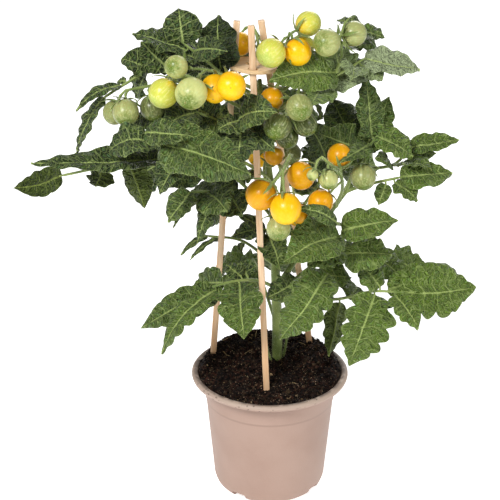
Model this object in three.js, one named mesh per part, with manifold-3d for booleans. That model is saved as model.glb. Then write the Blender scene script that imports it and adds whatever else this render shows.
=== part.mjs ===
// A cherry tomato plant in a plastic grow pot, tied up on three wooden sticks.
// Millimetres, +Z up. The origin is the centre of the pot's underside, on the surface it stands on.
// The plant is a branching stem in soil. Compound leaves and trusses of fruit grow from it,
// and the three sticks lean together through a drilled wooden disc above it.

import * as THREE from "three";
import Module from "manifold-3d";
import { mergeVertices } from "three/addons/utils/BufferGeometryUtils.js";

const wasm = await Module();
wasm.setup();

// ---------- Driving dimensions ----------

const GAP = 0.35; // clearance kept between any two pieces
const ROUND_SIDES = 28; // sides of the pot and the soil

const POT_HEIGHT = 104;
const POT_RIM_RADIUS = 65;
const POT_LIP_INNER_RADIUS = 59.3;
const POT_BODY_RADIUS = 55; // just under the lip
const POT_STEP_HEIGHT = 80; // the body narrows a little below this line
const POT_FOOT_RADIUS = 46.5; // just above the rounded foot
const POT_BASE_RADIUS = 41.5;
const POT_WALL = 1.3;
const NOTCH_COUNT = 4; // drainage notches round the foot
const NOTCH_FIRST_ANGLE = -125; // degrees
const NOTCH_WIDTH = 13;
const NOTCH_HEIGHT = 6.2;
const NOTCH_INNER_RADIUS = 34;
const DRAIN_HOLE_RADIUS = 2.5;

const SOIL_LEVEL = 101; // at the front edge of the pot
const SOIL_MOUND = 12; // how much higher it is heaped behind the stem
const SOIL_EDGE_LEVEL = 104.5; // the heap falls to this at the rim
const SOIL_RINGS = [20, 41, 54];

const STICK_WIDTH = 5;
const STICK_DEPTH = 4.2;
const STICK_TOP = 398;
const STICK_POINT = 12; // length of its pointed lower end
const DISC_CENTRE = [-14.5, 0, 364];
const DISC_RADIUS = 19;
const DISC_THICKNESS = 3;
const DISC_TILT = 5; // degrees, its left side is higher
const DISC_CENTRE_HOLE_RADIUS = 5.6;
const DISC_STICK_HOLE_RADIUS = 3.6;

// Each stick runs through a point at the soil and a point in the disc, from the height where its
// lower end is. The two at the back end in the soil where they come close to the pot's side.
const STICKS = [
  { name: "stick_front", soil: [-3, -31.3, 101], disc: [-14.2, -13.5], bottom: 16 },
  { name: "stick_left", soil: [-47, 14.5, 112.5], disc: [-28.7, 3.5], bottom: 94.5 },
  { name: "stick_right", soil: [34, 31.5, 113], disc: [-3, 7], bottom: 93.5 },
];

const BLADE_THICKNESS = 0.9;
const SEPAL_THICKNESS = 0.8;
const PEDICEL_RADIUS = 1; // the stalk of one fruit
const STALK_RADII = [1.5, 1]; // of a leaf's or a truss's stalk, at its root and its end
const BRANCH_ROOT = 2.4; // length along the stalk that a leaflet or a fruit's stalk grows from
const PETIOLULE = 2; // how far a leaflet's blade starts off its stalk
const OUTWARD_LEAN = 0.5; // how far a blade's upper face leans away from the plant's middle
const FRONT_LEAN = 0.65; // how far it leans to the front, where the light comes from
const FUSED_FRUIT_RINGS = [0.8, 1.4, 2, 2.6]; // angles from the calyx, in radians
const FUSED_FRUIT_SIDES = 9;

const COLOURS = {
  pot: 0xc5a89a,
  soil: 0x241a14,
  wood: 0xe8cba3,
  stem: 0x66803a,
  leaf: 0x4f6b35,
  green: 0xa9bd6b,
  turning: 0xd8cf6a,
  yellow: 0xf2c026,
  orange: 0xe59a1c,
};

// ---------- The plant's layout ----------

// The main stem and its side shoots: points [x, y, z, radius].
const STEMS = [
  [[6.2, 7, 50, 3.4], [6.2, 7, 108, 4.4], [6, 5, 140, 4.2], [4, 4, 195, 3.6],
    [1, 3, 255, 3], [-6, 0, 315, 2.2], [-9, -1, 353, 1.6]],
  [[5, 4.5, 174, 2.6], [24, 9, 205, 2.5], [42, 8, 232, 2.3], [61, 4, 262, 1.8], [79, 9, 278, 1.3]],
  [[8.5, 7.5, 100, 1.3], [13.5, 7, 124, 1.1], [14, 6, 142, 0.8]],
  [[4, 6, 100, 1.2], [-3, 0, 126, 0.9], [-3, -1, 138, 0.7]],
];

// A fruit is [centre, radius, place of its stalk along the truss, colour, name].
// Fruits with a name ripen and are pieces of their own; green ones are one body with their truss.
const TRUSSES = [
  {
    name: "truss_top_left",
    stalk: [[-9, -1, 344], [-30, -16, 358], [-47, -26, 368], [-62, -28, 370]],
    fruits: [
      [[-70, -44, 376], 8.8, 1, "green"],
      [[-80, -41, 355], 11.2, 1, "turning", "fruit_top_left_outer"],
      [[-59, -54, 359], 12, 0.8, "green"],
      [[-42, -36, 357], 10.8, 0.64, "yellow", "fruit_top_left_middle"],
      [[-30, -52, 364], 11, 0.42, "yellow", "fruit_top_left_inner"],
    ],
  },
  {
    name: "truss_left",
    stalk: [[-65, -3.4, 355], [-84, -11, 353], [-110, -18, 350]],
    fruits: [
      [[-109, -31, 337], 10.1, 0.95, "green"],
      [[-119, -13, 331], 9.4, 1, "green"],
      [[-90, -20, 337], 9.6, 0.6, "green"],
    ],
  },
  {
    name: "truss_top",
    stalk: [[-8, -1, 336], [6, -3, 352], [9, -8, 374], [13, -13, 393]],
    fruits: [
      [[-1, -29, 382], 11, 0.95, "turning", "fruit_top_front"],
      [[19, -19, 380], 10.3, 1, "yellow", "fruit_top_middle"],
      [[23, 3, 378], 9.4, 0.8, "turning", "fruit_top_rear"],
      [[27, -6, 398], 9.6, 0.95, "turning", "fruit_top_high"],
      [[0, -18, 343], 9, 0.35, "orange", "fruit_under_disc"],
    ],
  },
  {
    name: "truss_top_right",
    stalk: [[48.8, -10.2, 362], [52, -13, 377], [50, -14, 391]],
    fruits: [
      [[40, -26, 389], 10.3, 0.95, "green"],
      [[61, -8, 391], 9.7, 1, "green"],
    ],
  },
  {
    name: "truss_centre",
    stalk: [[-6, -1, 316], [4, -10, 330], [12, -20, 338], [18, -28, 347]],
    fruits: [
      [[20, -41, 344], 10.3, 1, "green"],
      [[4, -36, 328], 10.7, 0.75, "green"],
      [[25, -26, 326], 9.4, 0.8, "green"],
      [[12, -21, 314], 8.8, 0.45, "green"],
    ],
  },
  {
    name: "truss_low",
    stalk: [[0.4, 3, 265], [9, -12, 286], [14, -30, 303], [8, -57, 300]],
    fruits: [
      [[-8, -56, 281], 11.8, 1, "orange", "fruit_low_left"],
      [[10, -74, 277], 11.7, 1, "yellow", "fruit_low_front"],
      [[5, -57, 254], 9.4, 0.3, "green"],
      [[22, -40, 290], 10.7, 0.6, "orange", "fruit_low_rear"],
      [[20, -45, 260], 8.6, 0.45, "orange", "fruit_low_under"],
      [[2, -15, 297], 7.6, 0.25, "orange", "fruit_low_inner"],
    ],
  },
  {
    name: "truss_right_inner",
    stalk: [[52, 6, 247], [55, -16, 270], [50, -40, 293], [37, -48, 308]],
    fruits: [
      [[42, -54, 292], 7.3, 0.9, "green"],
      [[30, -57, 297], 4.4, 1, "green"],
      [[37, -44, 270], 9.8, 0.55, "orange", "fruit_right_inner"],
      [[52, -18, 298], 9.4, 0.6, "orange", "fruit_right_rear"],
    ],
  },
  {
    name: "truss_right",
    stalk: [[60, 4, 260], [64, -2, 278], [72, -6, 293]],
    fruits: [[[71, -16, 279.5], 10, 1, "green"]],
  },
  {
    name: "truss_back_top",
    stalk: [[-9, -1, 343], [-14, 20, 352], [-10, 34, 372], [-14, 42, 384]],
    fruits: [
      [[-24, 23, 374.5], 9.2, 0.7, "yellow", "fruit_back_top"],
      [[-32, 48, 368], 10, 1, "green"],
      [[2, 52, 352], 10.4, 0.95, "turning", "fruit_back_right"],
    ],
  },
  {
    name: "truss_back_low",
    stalk: [[1.2, 3, 252], [-5, 30, 268], [2, 56, 284]],
    fruits: [
      [[-8, 68, 268], 11, 1, "yellow", "fruit_back_low"],
      [[16, 64, 270], 10, 1, "green"],
    ],
  },
];

// A leaf is a stalk with leaflets. A leaflet is [place along the stalk, its tip, width, turn, bend]:
// turn is a roll about its midrib in degrees, bend is how far the midrib arches, as a part of its length.
const LEAVES = [
  {
    name: "leaf_left_mid",
    stalk: [[-0.6, 2.3, 272], [-26, -24, 297], [-56, -44, 311], [-78, -54, 316], [-92, -50, 326]],
    leaflets: [
      [0.9, [-16, -84, 308], 42, -8, 0.01],
      [1, [-58, -63, 329], 23, 0, 0.12],
      [0.72, [-83, -70, 287], 24, 0],
      [0.98, [-121, -46, 311], 28, 10, 0.2],
      [0.55, [-62, -20, 322], 30, 0],
    ],
  },
  {
    name: "leaf_lower_left",
    stalk: [[4.7, 4.3, 176], [-10, -8, 188], [-29, -22, 194], [-46, -28, 192]],
    leaflets: [
      [0.66, [-21, -54, 159], 38, -10, 0.14],
      [0.97, [-103, -37, 160], 28, -25, 0.03],
      [0.97, [-86, -51, 144], 22, 0, 0.2],
      [0.86, [-60, 2, 180], 28, 0],
      [0.5, [-24, -2, 202], 21, 0],
      [0.6, [-35, -13, 204], 18, 20],
    ],
  },
  {
    name: "leaf_lower_centre",
    stalk: [[5.4, 4.7, 158], [16, 2, 180], [30, -18, 196], [43, -33, 205]],
    leaflets: [
      [1, [7, -55, 159], 38, 8, 0.12],
      [0.55, [-3, -24, 180], 24, 0],
      [0.85, [64, -20, 196], 24, 0],
    ],
  },
  {
    name: "leaf_lower_right",
    stalk: [[5.2, 4.6, 163], [30, 2, 168], [54, -15, 175], [81, -30, 189], [101, -34, 190]],
    leaflets: [
      [0.82, [61, -59, 138], 42, 6, 0.1],
      [0.52, [47, -34, 133], 22, 170],
      [1, [158, -50, 202], 44, 14, -0.07],
      [0.92, [156, 6, 185], 30, 0, 0.2],
      [0.6, [70, 8, 176], 30, 0],
      [0.97, [114, -60, 171], 24, 0],
      [0.86, [70, -20, 208], 24, 0],
    ],
  },
  {
    name: "leaf_right_mid",
    stalk: [[4.1, 4, 196], [36, -4, 208], [55, -26, 220], [54, -41, 244]],
    leaflets: [
      [1, [96, -46, 256], 28, 0, 0.1],
      [0.97, [9, -67, 231], 38, 0, 0.14],
      [0.85, [27, -60, 224], 30, 0],
      [0.7, [94, -31, 221], 34, 0],
      [0.55, [62, 12, 214], 30, 0],
    ],
  },
  {
    name: "leaf_over_fruit",
    stalk: [[42, 8, 232], [55, -18, 241], [49, -51, 256]],
    leaflets: [
      [1, [17, -67, 275], 15, 0, 0.14],
      [0.6, [66, -34, 240], 16, 0],
    ],
  },
  {
    name: "leaf_far_left",
    stalk: [[-3.5, 1.2, 296], [-45, -12, 294], [-100, -23, 296], [-158, -28, 286]],
    leaflets: [
      [0.5, [-178, -58, 306], 26, 12, 0.01],
      [1, [-197, -30, 276], 23, 155, 0.12],
      [0.82, [-134, -34, 279], 28, 180],
      [0.68, [-97, -34, 261], 23, 180],
      [0.72, [-130, 14, 284], 22, 0],
    ],
  },
  {
    name: "leaf_left_shoot",
    stalk: [[-6, -1, 322], [-34, -4, 338], [-62, 0, 355], [-92, 1, 359], [-112, -3, 350], [-126, -8, 342]],
    leaflets: [
      [0.9, [-147, -24, 336], 11, 0, 0.12],
      [1, [-151, -6, 295], 16, 0, 0.09],
      [0.72, [-113, -6, 371], 25, 0],
      [0.62, [-99, 6, 381], 25, 0],
      [0.55, [-72, 20, 364], 30, 0],
      [0.86, [-118, 4, 350], 8, 0],
      [0.5, [-80, -16, 356], 21, 0],
      [0.75, [-103, 6, 336], 22, 0],
    ],
  },
  {
    name: "leaf_top_left",
    stalk: [[-8, -1, 338], [-30, -3, 352], [-48, -5, 368], [-65, -6, 382]],
    leaflets: [
      [0.95, [-104, -8, 391], 26, 20, 0.06],
      [1, [-70, 4, 407], 30, 30, 0.14],
      [0.55, [-40, 8, 401], 38, 0, 0.12],
      [0.88, [-33, -28, 383], 22, 15, 0.1],
      [0.45, [-64, 26, 362], 32, 0],
      [0.79, [-83, -3, 378], 22, 10],
    ],
  },
  {
    name: "leaf_left_under",
    stalk: [[1.5, 3.2, 246], [-16, -2, 258], [-38, -20, 269], [-60, -28, 272]],
    leaflets: [
      [1, [-79, -38, 251], 24, 0],
      [0.75, [-57, -36, 233], 16, 0],
      [0.6, [-22, -36, 256], 30, 0],
      [0.85, [-34, -50, 266], 34, 0],
      [0.8, [-64, 4, 259], 24, 10],
      [0.85, [-75, -42, 248], 18, 40],
      [0.45, [-52, 14, 261], 26, 0],
    ],
  },
  {
    name: "leaf_left_small",
    stalk: [[4, 4, 196], [-24, 32, 206], [-50, 36, 208]],
    leaflets: [
      [1, [-74, 36, 191], 8, 0],
      [0.85, [-56, 48, 192], 8, 0],
      [0.6, [-24, 46, 190], 9, 0],
      [0.95, [-66, 32, 188], 8, 0],
    ],
  },
  {
    name: "leaf_left_inner",
    stalk: [[-4, 1, 304], [-30, -12, 320], [-54, -24, 334]],
    leaflets: [
      [1, [-80, -38, 328], 30, 0],
      [0.9, [-32, -34, 328], 28, 0],
      [0.8, [-70, -6, 340], 28, 0],
      [0.6, [-46, -30, 306], 28, 0],
      [1, [-111, -6, 319], 30, 0],
    ],
  },
  {
    name: "leaf_centre_low",
    stalk: [[3.3, 3.7, 212], [-1, 2, 222], [-4, -8, 232]],
    leaflets: [
      [1, [-31, -7, 226], 20, 0],
      [0.9, [7, -38, 211], 25, 0],
      [0.93, [-26, -16, 248], 18, 25],
      [0.7, [18, -10, 232], 21, 0],
    ],
  },
  {
    name: "leaf_centre_upper",
    stalk: [[-5, 0, 311], [-21, -14, 322], [-24, -34, 333]],
    leaflets: [
      [1, [2, -50, 344], 30, 0, 0.14],
      [0.95, [-40, -44, 328], 23, 0],
      [0.7, [-26, -48, 302], 30, 0],
      [0.55, [2, -46, 312], 25, 0],
    ],
  },
  {
    name: "leaf_top_right",
    stalk: [[-6, 0, 324], [18, -6, 340], [45, -10, 357], [68, -6, 370]],
    leaflets: [
      [0.6, [28, -42, 346], 26, 0],
      [0.75, [-2, -31, 362], 36, 0, 0.08],
      [0.9, [59, -36, 365], 24, 0, 0.12],
      [1, [111, -14, 365], 26, 0, 0.02],
      [0.6, [80, 22, 360], 28, 0],
      [0.8, [47, 4, 377], 30, 0],
      [0.97, [83, -17, 358], 22, 0],
    ],
  },
  {
    name: "leaf_right_star",
    stalk: [[59, 6, 260], [69, 8, 284], [81, 5, 304]],
    leaflets: [
      [0.97, [73, 18, 349], 25, 0, 0.04],
      [1, [110, -4, 292], 26, 0],
      [0.6, [48, 44, 325], 38, -30],
      [0.86, [51, -32, 297], 15, 0, 0.1],
      [0.7, [37, -8, 312], 32, -25, 0.06],
      [0.7, [93, 30, 330], 26, 0],
    ],
  },
  {
    name: "leaf_right_upper",
    stalk: [[78, 9, 277], [98, 15, 279], [109, 16, 291]],
    leaflets: [
      [1, [147, 10, 301], 19, 0, 0.03],
      [0.6, [123, -14, 286], 24, 0],
      [0.9, [124, 36, 288], 23, 0],
      [0.9, [131, 20, 286], 15, 0],
      [0.45, [81, -6, 292], 16, 0],
    ],
  },
  {
    name: "leaf_right_small",
    stalk: [[61, 4, 261], [78, 0, 268], [99, -5, 275]],
    leaflets: [
      [1, [142, 0, 277], 24, 0, 0.05],
      [0.75, [84, -12, 255], 14, 0],
      [0.92, [114, -14, 259], 21, 0],
    ],
  },
  {
    name: "leaf_top_back_right",
    stalk: [[-7, 1, 331], [8, 4, 342], [28, 14, 356], [66, 16, 385]],
    leaflets: [
      [1, [50, 20, 394], 21, 0],
      [0.8, [56, 46, 368], 34, 0],
      [0.6, [22, 46, 350], 34, 0],
      [0.95, [80, 36, 374], 28, 0],
      [1, [86, 12, 382], 18, 0],
      [0.35, [40, 30, 311], 28, 0],
    ],
  },
  {
    name: "leaf_back_upper_left",
    stalk: [[-9, 0, 347], [-20, 20, 356], [-42, 44, 362], [-72, 64, 362]],
    leaflets: [
      [1, [-110, 78, 344], 39, 0, 0.12],
      [0.8, [-56, 88, 344], 34, 0],
      [0.75, [-84, 34, 356], 34, 0],
      [0.5, [-24, 72, 340], 30, 0],
    ],
  },
  {
    name: "leaf_back_left",
    stalk: [[2, 3.3, 238], [-26, 44, 254], [-52, 68, 262], [-82, 84, 258]],
    leaflets: [
      [1, [-120, 98, 234], 44, -40, 0.12],
      [0.8, [-58, 112, 240], 39, 0],
      [0.75, [-96, 50, 248], 39, -40],
      [0.5, [-20, 88, 238], 34, 0],
      [0.45, [-53, 50, 209], 26, -30],
    ],
  },
  {
    name: "leaf_back_centre",
    stalk: [[-2.8, 1.4, 290], [-10, 34, 306], [-4, 64, 314], [6, 90, 312]],
    leaflets: [
      [1, [14, 128, 290], 44, 0, 0.12],
      [0.8, [-34, 108, 296], 39, 0],
      [0.6, [42, 84, 294], 39, 40],
      [0.55, [-44, 66, 300], 32, -40],
    ],
  },
  {
    name: "leaf_back_right",
    stalk: [[2.9, 3.6, 220], [26, 18, 242], [44, 48, 256], [58, 74, 258]],
    leaflets: [
      [1, [92, 94, 246], 36, 40, 0.12],
      [0.8, [34, 84, 274], 36, 0],
      [0.75, [76, 38, 256], 32, 0],
      [0.5, [14, 78, 246], 30, 0],
      [0.8, [29, 48, 303], 38, -45],
    ],
  },
  {
    name: "leaf_back_low",
    stalk: [[6, 5, 140], [-6, 50, 160], [-12, 76, 166], [-16, 96, 162]],
    leaflets: [
      [1, [-20, 124, 132], 44, 0, 0.14],
      [0.8, [-54, 100, 142], 39, 0],
      [0.75, [28, 100, 146], 39, 0],
      [0.5, [-44, 66, 154], 30, 0],
    ],
  },
  {
    name: "leaf_right_low",
    stalk: [[5, 4.5, 170], [44, 30, 190], [76, 38, 196], [100, 42, 190]],
    leaflets: [
      [1, [134, 48, 160], 34, 0, 0.02],
      [0.8, [98, 80, 170], 37, 0],
      [0.7, [54, 70, 172], 34, 0],
      [0.8, [110, 10, 176], 30, 0],
    ],
  },
];

// Half of a leaflet's outline: [place along the midrib, reach as a part of the half width].
// The steps in it are the leaflet's lobes.
const OUTLINES = {
  large: {
    edge: [[0.09, 0.14], [0.22, 1], [0.36, 0.76], [0.52, 0.88], [0.64, 0.56], [0.85, 0.27]],
    rib: [0.45],
  },
  medium: { edge: [[0.1, 0.14], [0.27, 1], [0.43, 0.7], [0.6, 0.7]], rib: [0.45] },
  small: { edge: [[0.12, 0.14], [0.32, 1], [0.65, 0.55]], rib: [0.45] },
};

// ---------- Small helpers ----------

const vec = ([x, y, z]) => new THREE.Vector3(x, y, z);
const radians = THREE.MathUtils.degToRad;
const UP = new THREE.Vector3(0, 0, 1);
const FRONT = new THREE.Vector3(0, -1, 0);

function geometryOf(points, triangles) {
  const geometry = new THREE.BufferGeometry();
  geometry.setAttribute("position", new THREE.Float32BufferAttribute(points.flatMap((p) => p.toArray()), 3));
  geometry.setIndex(triangles.flat());
  return geometry;
}

// A closed geometry as a solid that can be joined and cut, with its faces turned outwards.
function solidOf(geometry) {
  const bare = new THREE.BufferGeometry();
  bare.setAttribute("position", geometry.getAttribute("position"));
  if (geometry.index) bare.setIndex(geometry.index);
  const merged = mergeVertices(bare, 1e-4);
  const make = (flipped) => {
    const index = [];
    for (let i = 0; i < merged.index.count; i += 3) {
      const [a, b, c] = [0, 1, 2].map((k) => merged.index.getX(i + k));
      if (a !== b && b !== c && c !== a) index.push(a, ...(flipped ? [c, b] : [b, c]));
    }
    const vertProperties = merged.attributes.position.array;
    return new wasm.Manifold(new wasm.Mesh({ numProp: 3, vertProperties, triVerts: new Uint32Array(index) }));
  };
  const solid = make(false);
  return solid.volume() < 0 ? make(true) : solid;
}

function meshOf(name, solid, colour, roughness) {
  const mesh = solid.getMesh();
  const geometry = new THREE.BufferGeometry();
  geometry.setAttribute("position", new THREE.BufferAttribute(mesh.vertProperties, 3));
  geometry.setIndex(new THREE.BufferAttribute(mesh.triVerts, 1));
  const flat = geometry.toNonIndexed();
  flat.computeVertexNormals();
  const material = new THREE.MeshStandardMaterial({ color: colour, roughness, metalness: 0 });
  const made = new THREE.Mesh(flat, material);
  made.name = name;
  return made;
}

function joined(solids) {
  return solids.reduce((whole, next) => whole.add(next));
}

// Cutting can leave scraps: the piece is the largest body.
function largestBody(solid) {
  const bodies = solid.decompose();
  return bodies.reduce((best, next) => (next.volume() > best.volume() ? next : best));
}

function zRotated(geometry, degrees) {
  return geometry.applyMatrix4(new THREE.Matrix4().makeRotationZ(radians(degrees)));
}

// ---------- Tubes ----------

function curveThrough(points) {
  return new THREE.CatmullRomCurve3(points.map(vec), false, "centripetal");
}

// A closed tube through points [x, y, z] with a radius at each, both smoothly blended.
function tube(points, radii, sides, steps) {
  const curve = curveThrough(points);
  const frames = curve.computeFrenetFrames(steps, false);
  const corners = [];
  const triangles = [];
  for (let i = 0; i <= steps; i++) {
    const centre = curve.getPointAt(i / steps);
    const along = (i / steps) * (radii.length - 1);
    const k = Math.min(Math.floor(along), radii.length - 2);
    const radius = THREE.MathUtils.lerp(radii[k], radii[k + 1], along - k);
    for (let j = 0; j < sides; j++) {
      const angle = (j / sides) * 2 * Math.PI;
      corners.push(
        centre
          .clone()
          .addScaledVector(frames.normals[i], radius * Math.cos(angle))
          .addScaledVector(frames.binormals[i], radius * Math.sin(angle)),
      );
    }
  }
  for (let i = 0; i < steps; i++)
    for (let j = 0; j < sides; j++) {
      const [a, b] = [i * sides + j, i * sides + ((j + 1) % sides)];
      triangles.push([a, b, b + sides], [a, b + sides, a + sides]);
    }
  const last = steps * sides;
  for (let j = 1; j < sides - 1; j++) {
    triangles.push([0, j + 1, j], [last, last + j, last + j + 1]);
  }
  return solidOf(geometryOf(corners, triangles));
}

// ---------- Branching stalks ----------

// Walls between two loops of corners that turn the same way about the direction of growth.
function addWalls(surface, from, to) {
  const { corners, triangles } = surface;
  const spread = (offset) =>
    from.reduce((sum, a, i) => {
      const b = to[(Math.round((i * to.length) / from.length) + offset) % to.length];
      return sum + corners[a].distanceTo(corners[b]);
    }, 0);
  const offset = to.map((_, i) => i).reduce((best, next) => (spread(next) < spread(best) ? next : best));
  const ends = [...to.slice(offset), ...to.slice(0, offset)];
  let [i, j] = [0, 0];
  while (i < from.length || j < ends.length) {
    const [a, b] = [from[i % from.length], ends[j % ends.length]];
    if (i < from.length && (i + 1) / from.length <= (j + 1) / ends.length) {
      triangles.push([a, from[(i + 1) % from.length], b]);
      i += 1;
    } else {
      triangles.push([a, ends[(j + 1) % ends.length], b]);
      j += 1;
    }
  }
}

// A four-sided stalk along a curve, with an opening in it for each branch. A branch is
// {place along the stalk, towards}. An opening is a loop of four corners, its middle and the way out.
function stalk(points, branches, extra) {
  const curve = curveThrough(points);
  const half = (BRANCH_ROOT / 2 + extra) / curve.getLength();
  const last = branches.findIndex(({ place }) => place >= 1);
  const spots = [];
  const spotOf = branches.map(({ place }) => {
    const wanted = Math.min(place, 1 - 2 * half);
    const near = spots.find((spot) => Math.abs(spot - wanted) < 3 * half);
    if (near === undefined) spots.push(wanted);
    return near ?? wanted;
  });
  const steps = points.length + 1;
  const stations = spots.flatMap((spot) => [spot - half, spot + half]);
  for (let i = 0; i <= steps; i++) {
    const clear = spots.every((spot) => Math.abs(spot - i / steps) > 1.8 * half);
    if (i === 0 || i === steps || clear) stations.push(i / steps);
  }
  stations.sort((a, b) => a - b);

  const surface = { corners: [], triangles: [] };
  const lean = UP.clone();
  if (Math.abs(curve.getTangentAt(0).z) > 0.95) lean.set(1, 0, 0);
  const rings = stations.map((t) => {
    const tangent = curve.getTangentAt(t);
    lean.addScaledVector(tangent, -lean.dot(tangent)).normalize();
    const side = tangent.clone().cross(lean);
    const radius = THREE.MathUtils.lerp(STALK_RADII[0], STALK_RADII[1], t) + extra;
    return [45, 135, 225, 315].map((degrees) => {
      const corner = curve.getPointAt(t);
      corner.addScaledVector(lean, radius * Math.cos(radians(degrees)));
      corner.addScaledVector(side, radius * Math.sin(radians(degrees)));
      return surface.corners.push(corner) - 1;
    });
  });
  const sideOf = (k, j) => {
    const next = (j + 1) % 4;
    return [rings[k][j], rings[k][next], rings[k + 1][next], rings[k + 1][j]];
  };
  const taken = new Set();
  const openings = branches.map(({ towards }, i) => {
    const place = i === last ? 1 : spotOf[i];
    const centre = curve.getPointAt(place);
    if (i === last) return { loop: rings.at(-1), middle: centre, out: curve.getTangentAt(1) };
    const k = stations.indexOf(place - half);
    const choices = [0, 1, 2, 3].filter((j) => !taken.has(4 * k + j)).map((j) => {
      const loop = sideOf(k, j);
      const middle = new THREE.Vector3();
      for (const a of loop) middle.addScaledVector(surface.corners[a], 0.25);
      const out = middle.clone().sub(centre).normalize();
      return { j, loop, middle, out, facing: out.dot(towards.clone().sub(centre)) };
    });
    const opening = choices.reduce((best, next) => (next.facing > best.facing ? next : best));
    taken.add(4 * k + opening.j);
    return opening;
  });
  for (let k = 0; k < rings.length - 1; k++) {
    for (let j = 0; j < 4; j++) {
      const [a, b, c, d] = sideOf(k, j);
      if (!taken.has(4 * k + j)) surface.triangles.push([a, b, c], [a, c, d]);
    }
  }
  const [a, b, c, d] = rings[0];
  surface.triangles.push([a, c, b], [a, d, c]);
  if (last < 0) {
    const [e, f, g, h] = rings.at(-1);
    surface.triangles.push([e, f, g], [e, g, h]);
  }
  return { surface, openings };
}

// ---------- Pot and soil ----------

function potBodyRadius(z) {
  const top = POT_HEIGHT - 6;
  const narrowing = z < POT_STEP_HEIGHT ? 0.5 : 0;
  return THREE.MathUtils.mapLinear(z, 8, top, POT_FOOT_RADIUS + 0.5, POT_BODY_RADIUS) - narrowing;
}

function lathe(profile) {
  const points = profile.map(([r, z]) => new THREE.Vector2(r, z));
  return new THREE.LatheGeometry(points, ROUND_SIDES).rotateX(Math.PI / 2);
}

function potShell() {
  const lipBottom = POT_HEIGHT - 5;
  return solidOf(
    lathe([
      [0, 0],
      [POT_BASE_RADIUS, 0],
      [POT_BASE_RADIUS + 3.2, 2.8],
      [POT_FOOT_RADIUS, 8],
      [potBodyRadius(POT_STEP_HEIGHT - 0.1), POT_STEP_HEIGHT - 0.5],
      [potBodyRadius(POT_STEP_HEIGHT), POT_STEP_HEIGHT + 0.5],
      [POT_BODY_RADIUS, lipBottom - 1],
      [POT_RIM_RADIUS - 1, lipBottom],
      [POT_RIM_RADIUS, POT_HEIGHT - 2],
      [POT_RIM_RADIUS - 2, POT_HEIGHT],
      [POT_LIP_INNER_RADIUS, POT_HEIGHT - 0.8],
      [POT_LIP_INNER_RADIUS, lipBottom + 1.4],
      [POT_BODY_RADIUS - POT_WALL, lipBottom],
      [POT_FOOT_RADIUS - POT_WALL, 8.4],
      [POT_BASE_RADIUS - 0.6, POT_WALL],
      [0, POT_WALL],
    ]),
  );
}

// A box on the foot of the pot at one notch, from a radius outwards.
function notchBox(angle, innerRadius, width, bottom, top) {
  const reach = POT_RIM_RADIUS - innerRadius;
  const box = new THREE.BoxGeometry(reach, width, top - bottom);
  box.translate(innerRadius + reach / 2, 0, (top + bottom) / 2);
  return zRotated(box, angle);
}

// The ceiling over one notch, inside the pot, with its walls.
function notchCover(angle, extra) {
  const inner = NOTCH_INNER_RADIUS - POT_WALL - extra;
  const width = NOTCH_WIDTH + 2 * POT_WALL + 2 * extra;
  return solidOf(notchBox(angle, inner, width, 0.2, NOTCH_HEIGHT + POT_WALL + extra));
}

function notchAngles() {
  return Array.from({ length: NOTCH_COUNT }, (_, i) => NOTCH_FIRST_ANGLE + (i * 360) / NOTCH_COUNT);
}

function pot() {
  let body = potShell();
  const corner = [POT_BASE_RADIUS - 0.2, 0.1];
  const inside = solidOf(lathe([[0, 0.1], corner, [POT_FOOT_RADIUS - 0.6, 8.2], [0, 8.2]]));
  for (const angle of notchAngles()) {
    body = body.add(notchCover(angle, 0).intersect(inside));
  }
  for (const angle of notchAngles()) {
    body = body.subtract(solidOf(notchBox(angle, NOTCH_INNER_RADIUS, NOTCH_WIDTH, -1, NOTCH_HEIGHT)));
    const hole = new THREE.CylinderGeometry(DRAIN_HOLE_RADIUS, DRAIN_HOLE_RADIUS, 6, 6).rotateX(Math.PI / 2);
    hole.translate(NOTCH_INNER_RADIUS + DRAIN_HOLE_RADIUS + 1, 0, NOTCH_HEIGHT + 1);
    body = body.subtract(solidOf(zRotated(hole, angle)));
  }
  return body;
}

// Height of the soil's surface: low in front, heaped behind the stem, falling to the rim, with clods.
function soilHeight(x, y) {
  const heap = SOIL_LEVEL + SOIL_MOUND * THREE.MathUtils.smoothstep(y, -45, 25);
  const edge = THREE.MathUtils.smoothstep(Math.hypot(x, y), 53, 59);
  const clods = 0.7 * Math.sin(x * 0.21 + 1) * Math.cos(y * 0.18) + 0.5 * Math.sin(x * 0.47 - y * 0.39);
  return THREE.MathUtils.lerp(heap, Math.min(heap, SOIL_EDGE_LEVEL), edge) + clods;
}

function soil(standing) {
  const edge = POT_LIP_INNER_RADIUS - GAP;
  const lipBottom = POT_HEIGHT - 5;
  const side = [
    [edge, lipBottom + 1.9],
    [POT_BODY_RADIUS - POT_WALL - GAP, lipBottom + 0.5],
    [POT_FOOT_RADIUS - POT_WALL - GAP, 8.6],
    [POT_BASE_RADIUS - 1, POT_WALL + 0.4],
    [0, POT_WALL + 0.4],
  ];
  const top = [0, ...SOIL_RINGS, edge].map((r) => [r, null]);
  const geometry = lathe([...side.reverse(), ...top.reverse()].map(([r, z]) => [r, z ?? POT_HEIGHT]));
  const place = geometry.getAttribute("position");
  for (let i = 0; i < place.count; i++) {
    if (place.getZ(i) > lipBottom + 2.5) {
      place.setZ(i, soilHeight(place.getX(i), place.getY(i)));
    }
  }
  let body = solidOf(geometry);
  for (const angle of notchAngles()) body = body.subtract(notchCover(angle, GAP));
  for (const piece of standing) body = body.subtract(piece);
  return body;
}

// ---------- Sticks and disc ----------

function stickPoint(stick, z) {
  const share = (z - stick.soil[2]) / (DISC_CENTRE[2] - stick.soil[2]);
  return new THREE.Vector3(
    THREE.MathUtils.lerp(stick.soil[0], stick.disc[0], share),
    THREE.MathUtils.lerp(stick.soil[1], stick.disc[1], share),
    z,
  );
}

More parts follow.
